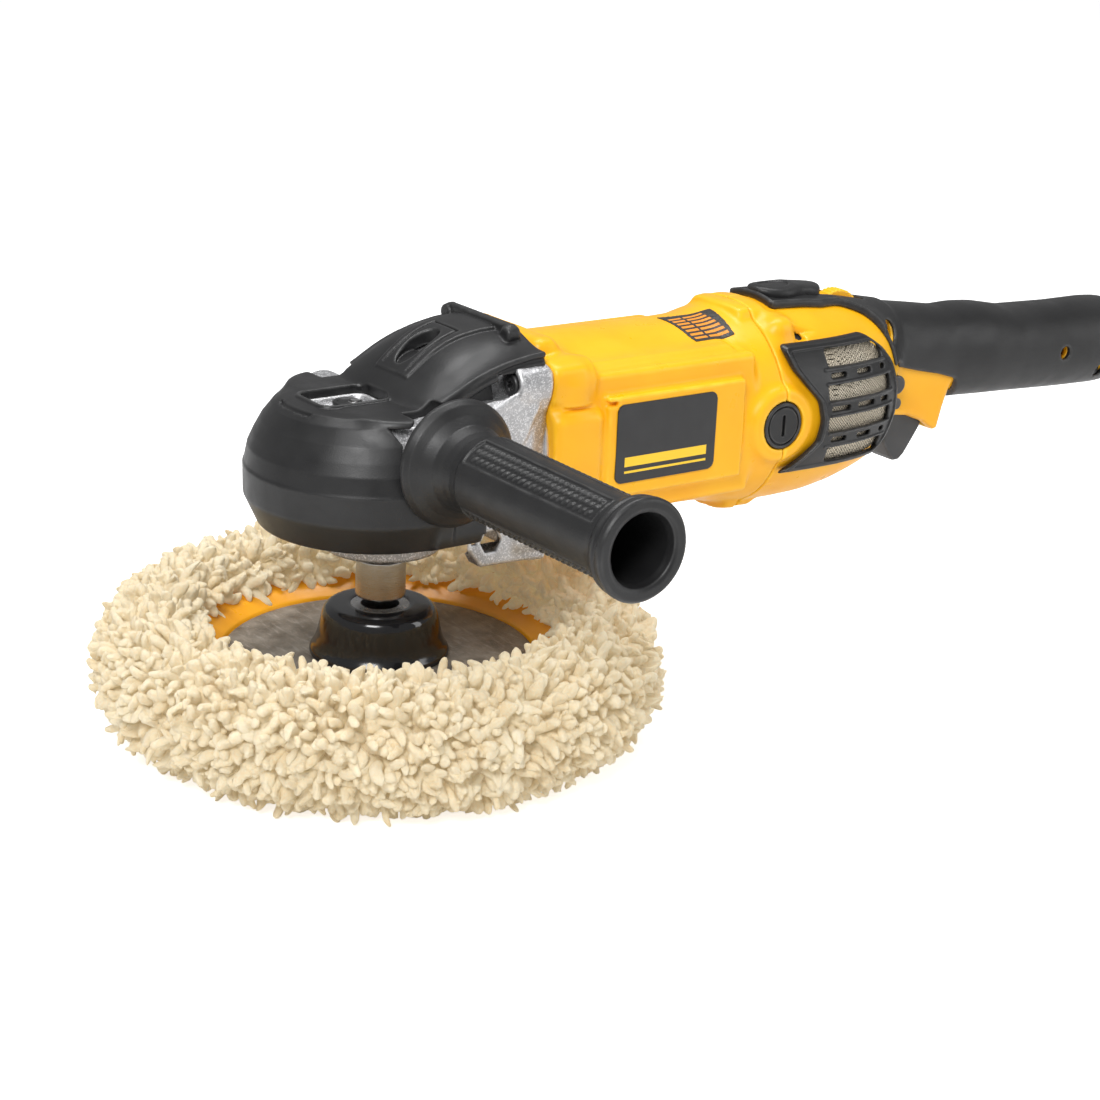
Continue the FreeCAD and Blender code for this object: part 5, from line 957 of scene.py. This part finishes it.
def side_labels():
    """Thin printed plates with rounded corners on the side panels, and a curved one on top."""
    def plate(p):
        flat = corner_distance(np.abs(p[0] - 109.3) - 25.8, np.abs(p[2] - 117.8) - 16.6, 3.2)
        return np.maximum(flat, np.abs(np.abs(p[1]) - 43.2) - 0.35)

    stripes = [(88, 130.6, 108.0, 112.0), (88, 130.6, 105.2, 106.2)]
    film = label_look("side_label_print", rgb(0.016, 0.016, 0.017), rgb(0.95, 0.6, 0.02), "Z", stripes)
    for side, low, high in (("near", -44, -42.6), ("far", 42.6, 44)):
        skin("side_label_" + side, plate, (82, low, 99), (137, high, 136), 0.35, "tool_body", film,
             ("labels",) if side == "near" else (), 1)

    corners = [(135.5, 0.5), (161.6, -3), (159.8, -22.6), (139, -22.6)]

    def patch(p):
        shell = np.abs(housing_outside(p) - 0.1) - 0.22
        return np.maximum(np.maximum(shell, 127 - p[2]), outline(p[0], p[1], corners))

    rows = []
    for y in np.arange(-21.0, -3.0, 2.6):
        front = 139 - (y + 22.6) * 0.152
        rows += [(front + start, front + stop, y, y + 1.4) for start, stop in ((1.4, 8), (9.2, 19.4))]
    top = label_look("top_label_print", rgb(0.03, 0.028, 0.026), rgb(0.85, 0.3, 0.02), "Y", rows)
    skin("top_label", patch, (120, -42, 130), (166, 6, 163), 0.35, "tool_body", top, (), 1)


# ---------------- rear housing
BELL = [(160, 44, 71, 159.4), (173, 44.4, 70.5, 159.6), (190, 45, 70, 160), (206, 44.7, 70.4, 159.6),
        (220, 43, 72.4, 158.2), (232, 40, 75, 156.6), (242, 35.6, 77, 154.6), (250, 30, 79, 152.8),
        (256, 24.4, 83, 151.4), (262, 18, 92, 150), (268, 14, 103, 148), (278, 12, 106, 146)]
HANDLE = [(236, 17, 104, 152.5), (252, 18.2, 101.5, 151.6), (268, 18.6, 101, 150.6),
          (282, 18.4, 102, 148.6), (300, 18.4, 101.6, 145.8), (314, 19.2, 101.2, 146),
          (326, 20, 100.6, 145), (345, 19.8, 99.8, 141.4), (380, 20, 98, 140), (405, 20.6, 97.2, 139.8),
          (415, 20, 97.8, 139), (421, 17.6, 100, 136.8), (424, 15, 103, 134)]
BLOCK_OUTLINE = [(252, 122), (252, 98), (261, 100.4), (276, 98.4), (286, 94.4), (293.6, 89.4), (295.6, 90),
                 (298, 100), (303, 114.5), (290, 118), (268, 124)]


def bell_barrel(p):
    """The plain round body of the rear housing."""
    return oval(p, BELL, 2.0, 11)


def handle_barrel(p, inset=0.0):
    """The handle's outer face, or a face inset below it."""
    sections = [(x, half_width - inset, low + inset, high - inset) for x, half_width, low, high in HANDLE]
    return oval(p, sections, 2.2, 9)


def bell_outside(p):
    """The rear housing's outer face ahead of the handle, with its crown, ridges and cap blisters."""
    both = mirrored(p)
    x, side, z = both
    d = bell_barrel(p)
    crown = meet(d - 2.4, side - 17.5, 3)
    crown = meet(crown, x - 182, 3)
    crown = meet(crown, z - 161.8, 1.5)
    ridge = box(both, (176, 14, 140), (190, 30, 157), 6)
    d = join(join(d, crown, 3), ridge, 4)
    dent = meet(188 - x, np.maximum(23.5 - side + (x - 188) * 0.45, 147 - z + (x - 188) * 0.3), 1.5)
    d = carve(d, dent, 2)
    return meet(join(d, cap_boss(p, BOSS_RADIUS, 20, 44.6, 2.2), 4), x - 277, 6)


def block_field(p):
    """The yellow block under the handle that holds the trigger."""
    block = prism(p, BLOCK_OUTLINE, -15.2, 15.2, 4)
    return meet(block, np.abs(p[1]) - (p[2] - 100) * 0.06 - 15.6, 1)


def rear_outside(p):
    """The rear housing's outer face with the core of the handle under the grip."""
    return join(bell_outside(p), meet(handle_barrel(p, HANDLE_WALL), 240 - p[0], 1), 4)


def rear_field(p):
    """Both halves of the rear housing as one hollow shell."""
    both = mirrored(p)
    x = p[0]
    d = join(rear_outside(p), block_field(p), 3)
    inner = join(meet(bell_barrel(p) + 3, x - 258, 2), meet(handle_barrel(p, 5.4), 250 - x, 1))
    d = carve(d, inner, 0.5)
    d = carve(d, cap_boss(p, 10.6, 28, 60, 0.3), 0.5)
    d = carve(d, box(p, (222, -3.8, 133), (250, 3.8, 175), 0.5), 0.5)
    d = carve(d, box(p, (259.8, -10.1, 70), (292.8, 10.1, 113.5), 1.0), 0.6)
    for low in (99, 111, 123, 135):
        d = carve(d, box(both, (194, 25, low), (234, 60, low + 6), 1.5), 0.5)
    for at, radius in zip(HANDLE_SCREWS, (4.7, 3.4, 3.4)):
        d = carve(d, rod(p, "y", at, -40, -12.1, radius), 0.3)
    slit = box(both, (189.5, 26, 146.5), (193.5, 34, 153.5), 0.8)
    d = carve(d, slit, 0.3)
    d = meet(d, SEAM_X + 0.25 - x, 0.5)
    return meet(d, x - 420, 1)


def rear_housing():
    for side, low, high in (("left", -48, 0), ("right", 0, 48)):
        sign = 1 if side == "left" else -1

        def field(p, sign=sign):
            d = np.maximum(rear_field(p), sign * p[1] + 0.06)
            if sign > 0:
                d = carve(d, rod(p, "y", LOCK_ON, -40, 0, 4.6), 0.3)
                d = carve(d, rod(p, "y", TRIGGER, -40, -15.9, 2.8), 0.3)
            return d

        skin("rear_shell_" + side, field, (172, low, 69), (421, high, 164), 0.8, "tool_body", YELLOW,
             ("rear_housing_" + side,), 2)


def grip_field(p):
    """The soft sleeve round the handle and its tongue over the crown, edged with piping."""
    x, side, z = mirrored(p)
    barrel = handle_barrel(p)
    edge = flow(x, [(240, 130), (250, 127.5), (262, 124.5), (275, 121), (290, 117.6), (302, 114), (308, 102),
                    (316, 90), (330, 60), (420, 60)], 5)
    front = flow(z, [(90, 262), (110, 262), (124, 256), (132, 250), (141, 240), (150, 232), (165, 228)], 5)
    sleeve = meet(barrel, np.maximum(edge - z, front - x), 1.0)
    shell = bell_outside(p)
    half = flow(x, [(180, 12), (186, 14), (214, 15.4), (226, 13), (238, 17), (246, 23), (252, 28),
                    (260, 34)], 7)
    tongue = meet(shell - 1.8, side - half, 1.0)
    tongue = meet(tongue, np.maximum(np.maximum(186.5 - x, x - 262), 128 - z), 1.5)
    piping = np.hypot(side - half + 0.2, np.maximum(np.abs(shell - 1.6) - 0.6, 0)) - 1.15
    piping = meet(piping, np.maximum(np.maximum(187 - x, x - 247), 140 - z), 1)
    nose = np.hypot(x - 187.4, np.maximum(np.abs(shell - 1.6) - 0.6, 0)) - 1.15
    nose = meet(nose, side - 13.6, 1)
    d = join(join(sleeve, tongue, 5), join(piping, nose), 0.8)
    d = carve(d, rear_outside(p) - 0.02, 0.1)
    d = carve(d, box(p, (221, -5.2, 130), (251, 5.2, 175), 3), 0.8)
    d = carve(d, rod(p, "y", HANDLE_SCREWS[0], -40, -8, 4.3), 1.2)
    d = carve(d, rod(p, "y", LOCK_ON, -40, -8, 4.7), 0.5)
    d = carve(d, box(p, (259.8, -10.1, 70), (292.8, 10.1, 113)), 0.5)
    for at in HANDLE_SCREWS[1:]:
        d = carve(d, rod(p, "y", at, -40, -12, 3.2), 0.4)
    return meet(d, x - 417.5, 2)


def grip():
    skin("grip_skin", grip_field, (185, -30, 95), (419, 30, 166), 0.8, "tool_body", GRIP, ("handle_grip",), 2)


def bumper():
    """The raised, bean-shaped pad on top of the tongue."""
    def field(p):
        x, y, z = p
        front = (np.hypot((x - 200) / 13, y / 10) - 1) * 10
        rear = np.hypot(x - 217, y) - 7.6
        roof = z - 165.4 + (y / 10) ** 2 * 1.6 + np.maximum(0, x - 208) * 0.12
        d = meet(join(front, rear, 7), roof, 2.2)
        d = meet(d, 158 - z, 0.2)
        dish = (np.hypot((x - 199) / 7.5, y / 5.5) - 1) * 5.5
        return carve(d, np.maximum(dish, -0.7 - roof), 0.9)

    skin("top_pad", field, (186, -12, 158), (226, 12, 167), 0.5, "tool_body", GRIP, ("top_bumper",), 2)


def shield_region(p):
    """Distance to the bell's skin, and to the shield's outline on it."""
    x, _, z = p
    shell = bell_barrel(p)
    front = flow(z, [(84, 168), (92, 171.5), (98, 181), (106, 189.6), (115, 191), (124, 189.2), (131, 183),
                     (138, 177.6), (146, 175.6), (152, 175)], 5)
    rear = flow(z, [(84, 217), (92, 231), (100, 239), (112, 243.6), (124, 244), (134, 241), (141, 235),
                    (147, 226), (152, 214)], 5)
    region = meet(np.maximum(front - x, x - rear), np.maximum(92.5 - z, z - 147.6), 2.5)
    return shell, region


def shield_field(p):
    """A curved plate with four windows, rows of slots between them, fine ribs and a raised rim."""
    x, y, z = p
    side = np.abs(y)
    shell, region = shield_region(p)
    plate = meet(np.maximum(shell - 3.4, -(shell - 0.9)), region, 1.4)
    d = meet(plate, 12 - side, 1)
    rise = z - 120
    for middle in (-21.0, -7.2, 6.6, 20.4):
        centre = middle - (x - 210) * 0.02
        start, stop = 194 + abs(middle) * 0.14, 238 - abs(middle) * 0.25
        d = carve(d, box((x, y, rise - centre), (start, -60, -3.6), (stop, 60, 3.6), 1.6), 0.8)
    for middle in (-14.1, -0.3, 13.5):
        for low, high in ((196, 207.5), (212, 223.5), (228, 234)):
            start, stop = low + 0.1 * abs(middle), high - 0.06 * abs(middle)
            d = carve(d, box((x, y, rise - middle), (start, -60, -1.15), (stop, 60, 1.15), 1.1), 0.4)
    pitch = 13.8
    ribs = np.abs(np.abs(rise + 0.3 - pitch * np.round((rise + 0.3) / pitch)) - 2.9) - 0.5
    rib_lines = meet(meet(np.maximum(shell - 4.0, -(shell - 2.5)), ribs, 0.4), region + 5, 0.4)
    rib_lines = meet(rib_lines, np.maximum(194 - x, x - 238), 0.5)
    rim = np.maximum(np.abs(region + 1.6) - 0.8, np.abs(shell - 3.4) - 0.7)
    rim = meet(rim, 12 - side, 1)
    return join(join(d, rib_lines, 0.5), rim, 0.8)


def shields():
    """The intake shields, one on each side."""
    for side, low, high in (("left", -50, -12), ("right", 12, 50)):
        skin("shield_" + side, shield_field, (170, low, 88), (251, high, 152), 0.5, "tool_body", BLACK,
             ("ingestion_shield_" + side,), 2)


def shield_mesh():
    """The steel cloth behind both shields."""
    def field(p):
        shell, region = shield_region(p)
        sheet = np.maximum(np.abs(shell - 0.7) - 0.3, region + 2)
        return np.maximum(sheet, np.maximum(192 - p[0], 12 - np.abs(p[1])))

    skin("steel_cloth", field, (190, -48, 93), (245, 48, 147), 0.6, "tool_body", MESH, ("shield_meshes",), 1)


# ---------------- trigger, buttons, dial, cord
TRIGGER_BLADE = [(261.3, 109), (261.3, 93.6), (262.4, 90.4), (272.6, 77.4), (275.6, 74.9), (279, 75),
                 (281.8, 77.6), (289.6, 91), (290, 94), (288.6, 96), (272, 108.8), (266, 110.2)]


def trigger():
    """The trigger's blade, hooked at its lower end and narrowed towards its front edge."""
    def field(p):
        x, y, z = p
        side = np.abs(y)
        blade = outline(x, z, TRIGGER_BLADE)
        d = meet(blade, side - 9.8, 2.2)
        keel = meet(blade, side + (95 - z) * 0.12 - 9.9 + np.maximum(0, 268 - x) * 0.3, 1.2)
        return meet(d, keel, 1.2)

    skin("trigger_blade", field, (260, -11, 75), (291, 11, 111), 0.5, "trigger_unit", GREY, ("trigger",), 3)


def lock_on():
    def field(p):
        return rod(p, "y", LOCK_ON, -22.6, -10.5, 4.4, 1.0)

    skin("lock_on_cap", field, (254, -24, 112), (265, -10, 122), 0.35, "lock_on_unit", GREY,
         ("lock_on_button",), 2)


def dial():
    """The speed dial, its rim finely scalloped."""
    def field(p):
        x, y, z = p
        angle = np.arctan2(x - DIAL[0], z - DIAL[1])
        radius = np.hypot(x - DIAL[0], z - DIAL[1])
        rim = 13 - 0.45 * (0.5 + 0.5 * np.cos(36 * angle))
        d = meet(radius - rim, np.abs(y) - 3.4, 0.8)
        return np.maximum(d, 2.05 - radius)

    skin("dial_wheel", field, (222, -4, 133), (250, 4, 160), 0.4, "dial_unit", YELLOW, ("speed_dial",), 2)


def cord():
    """The cord and its sleeve with eight rings that grow thinner to the rear."""
    corners = [(4.03, 410), (11, 410), (11, 413.6), (8, 413.8), (8, 420.2), (10.4, 420.6), (10.6, 426),
               (9.4, 429)]
    for k in range(8):
        start = 430 + 4.4 * k
        radius = 8.8 - 0.42 * k
        corners += [(radius, start), (radius, start + 2.4), (radius - 1.5, start + 2.8),
                    (radius - 1.5, start + 4.0)]
    corners += [(5.4, 465.6), (4.03, 466)]
    lathe("cord_sleeve", rounded(corners, 0.5, 2), "tool_body", BLACK, ("cord_protector",), 64, "x",
          (0, CORD_Z))
    cable = [(0, 385), (4, 385)] + [(4, 466 + 46 * k / 20) for k in range(20)] + [(3.7, 512), (0, 512)]
    lathe("cord", cable, "tool_body", RUBBER, ("power_cord",), 48, "x", (0, CORD_Z))


# ---------------- side handle
PANEL_ANGLES = (35, 145, 215, 325)      # grip panels round the side handle, degrees from the top
PANEL_RADIUS = 16.2


def panel_arc(angle, centre, radius):
    """Distance round the side handle from a panel's middle."""
    return np.radians((np.degrees(angle) - centre + 180) % 360 - 180) * radius


def knurl(along, angle, radius):
    """Height of the small slanted bumps at a place on the side handle."""
    row_gap, bump_gap = 3.4, 3.3
    height = np.zeros(np.shape(along), np.float32)
    for centre in PANEL_ANGLES:
        arc = panel_arc(angle, centre, radius)
        row = np.round(arc / row_gap)
        across = arc - row * row_gap
        inside = (np.abs(arc) < 5.2) & (along > 79) & (along < 153)
        shifted = along + row * 1.15 + across * 0.55
        local = shifted - np.round(shifted / bump_gap) * bump_gap
        bump = 1 - (local / 1.15) ** 2 - (across / 1.5) ** 2
        height = np.where(inside, np.maximum(bump, 0) ** 0.5 * 0.75, height)
    return height


SIDE_HANDLE = [(5.03, 51), (24.2, 51), (25.3, 52.2), (25.2, 53.6), (23.6, 55.8), (20.4, 58.2), (17.2, 61.6),
               (15.7, 66), (15.2, 70), (15.4, 74), (16.3, 75.4), (16.4, 90), (15.9, 120), (15.5, 155),
               (15.8, 158), (17.4, 160.6), (18.4, 161.6), (18.7, 163), (18.2, 164.2), (18.4, 165),
               (19.1, 166.2), (19.1, 167.8), (18.2, 169), (15.2, 169), (13.8, 168.2), (13.4, 166.6),
               (13.0, 165.2), (13, 98), (5.03, 98)]


def side_handle_field(p):
    """The turned grip, hollow at its end, with four sunk and knurled panels."""
    along = -p[1]
    rise = p[2] - HANDLE_Z
    radius = np.hypot(p[0], rise)
    angle = np.arctan2(-p[0], rise) % (2 * np.pi)
    body = outline(radius, along, SIDE_HANDLE)
    plug = outline(radius, along, [(0, 90), (14, 90), (14, 98), (0, 98)])
    d = np.minimum(body, plug)
    for centre in PANEL_ANGLES:
        arc = np.abs(panel_arc(angle, centre, PANEL_RADIUS))
        panel = np.maximum(arc - 6.2, np.abs(along - 116) - 39.5)
        line = np.maximum(np.abs(panel) - 0.35, np.abs(radius - 16.1) - 0.75)
        sunk = np.maximum(panel + 0.4, 15.55 - radius + (along - 116) * -0.009)
        d = carve(d, sunk, 0.3)
        d = join(d, np.maximum(line, body - 0.35), 0.3)
    return d - knurl(along, angle, PANEL_RADIUS) * (radius > 14.5)


def side_handle():
    skin("side_grip", side_handle_field, (-26.5, -170, HANDLE_Z - 26.5), (26.5, -50, HANDLE_Z + 26.5), 0.55,
         "tool_body", GRIP, ("side_handle_grip",), 2)


# ---------------- CAD nodes kept as they are
def paint_cad_nodes():
    looks = [
        (CAST, ["bearing_plate"]),
        (STEEL, ["ring_gear", "spindle_spacer", "hub_insert", "spindle_lower_bearing",
                 "spindle_upper_bearing", "lock_pin", "lock_spring", "trigger_spring", "brush_springs"]),
        (SHAFT_STEEL, ["intermediate_shaft", "intermediate_gear", "armature_shaft", "motor_pinion",
                       "intermediate_front_bearing", "intermediate_rear_bearing", "motor_front_bearing",
                       "motor_rear_bearing", "armature_core", "field_core", "side_handle_stud"]),
        (COPPER, ["armature_windings", "commutator", "field_coils", "brush_holders"]),
        (BLACK_SCREW, ["retainer_screws", "trigger_pin", "handle_screws", "carbon_brushes"]),
        (BLACK, ["cooling_fan", "rear_bearing_bracket", "switch_module", "cord_clamp"]),
        (BOARD, ["speed_control_board"]),
    ]
    for material, names in looks:
        for name in names:
            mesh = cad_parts[name].data
            mesh.materials.clear()
            mesh.materials.append(material)


# ---------------- floor, light, camera
def floor():
    mesh = bpy.data.meshes.new("floor")
    reach = 6.0
    corners = [(-reach, -reach, 0), (reach, -reach, 0), (reach, reach, 0), (-reach, reach, 0)]
    mesh.from_pydata(corners, [], [(0, 1, 2, 3)])
    n = Nodes("pale_floor")
    colour = n.blend(n.spread(n.noise(2.0), 0.3, 0.7), grey(0.93), grey(0.96))
    seen = n.add("ShaderNodeLightPath").outputs["Is Camera Ray"]
    n.put(n.surface.inputs["Emission Color"], grey(1))
    n.put(n.surface.inputs["Emission Strength"], n.math("MULTIPLY", seen, 0.66))
    mesh.materials.append(n.finish(colour=colour, rough=0.8, shine=0.2))
    piece = bpy.data.objects.new("floor", mesh)
    piece.location.z = -0.0005
    bpy.context.scene.collection.objects.link(piece)


def lamp(name, at, target, width, height, power):
    """A rectangular lamp turned to face a place."""
    data = bpy.data.lights.new(name, "AREA")
    data.shape = "RECTANGLE"
    data.size, data.size_y = width, height
    data.energy = power
    piece = bpy.data.objects.new(name, data)
    piece.location = at
    piece.rotation_mode = "QUATERNION"
    piece.rotation_quaternion = (Vector(target) - Vector(at)).to_track_quat("-Z", "Y")
    bpy.context.scene.collection.objects.link(piece)


def studio():
    """White to look at, softer as a light, with a high key at the left and a long box overhead."""
    world = bpy.data.worlds.new("studio")
    world.use_nodes = True
    tree = world.node_tree
    seen = tree.nodes.new("ShaderNodeLightPath").outputs["Is Camera Ray"]
    strength = tree.nodes.new("ShaderNodeMapRange")
    tree.links.new(seen, strength.inputs["Value"])
    strength.inputs["To Min"].default_value = 0.34
    strength.inputs["To Max"].default_value = 1.0
    background = tree.nodes["Background"]
    background.inputs["Color"].default_value = grey(1)
    tree.links.new(strength.outputs["Result"], background.inputs["Strength"])
    bpy.context.scene.world = world
    bpy.context.scene.view_settings.view_transform = "Standard"
    middle = (0.1, 0.0, 0.1)
    lamp("key", (-0.9, -0.8, 1.2), middle, 0.6, 0.6, 18)
    lamp("top", (0.15, 0.15, 1.4), middle, 1.2, 0.4, 13)
    lamp("right", (1.2, -1.0, 0.6), middle, 0.4, 1.0, 4)


def camera():
    """A view down from the front left; angles in degrees, place in mm."""
    azimuth, elevation, roll = (math.radians(v) for v in (-36.44, 18.83, 2.67))
    right = Vector((math.cos(azimuth), math.sin(azimuth), 0))
    back = Vector((math.sin(azimuth) * math.cos(elevation), -math.cos(azimuth) * math.cos(elevation),
                   math.sin(elevation)))
    up = back.cross(right)
    turned_right = right * math.cos(roll) + up * math.sin(roll)
    turned_up = -right * math.sin(roll) + up * math.cos(roll)
    data = bpy.data.cameras.new("camera")
    data.lens, data.sensor_width = 77.04, 36
    data.clip_start, data.clip_end = 0.01, 50
    piece = bpy.data.objects.new("camera", data)
    piece.matrix_world = Matrix.Translation(Vector((-478.9, -763.2, 383.4)) * MM) @ Matrix(
        (turned_right, turned_up, back)).transposed().to_4x4()
    bpy.context.scene.collection.objects.link(piece)
    bpy.context.scene.camera = piece


wool_pad()
backing()
spindle()
retainer()
boot()
gear_case()
case_screws()
lock_button()
motor_housing()
brush_caps()
side_labels()
rear_housing()
grip()
bumper()
shields()
shield_mesh()
trigger()
lock_on()
dial()
cord()
side_handle()
paint_cad_nodes()
floor()
studio()
camera()
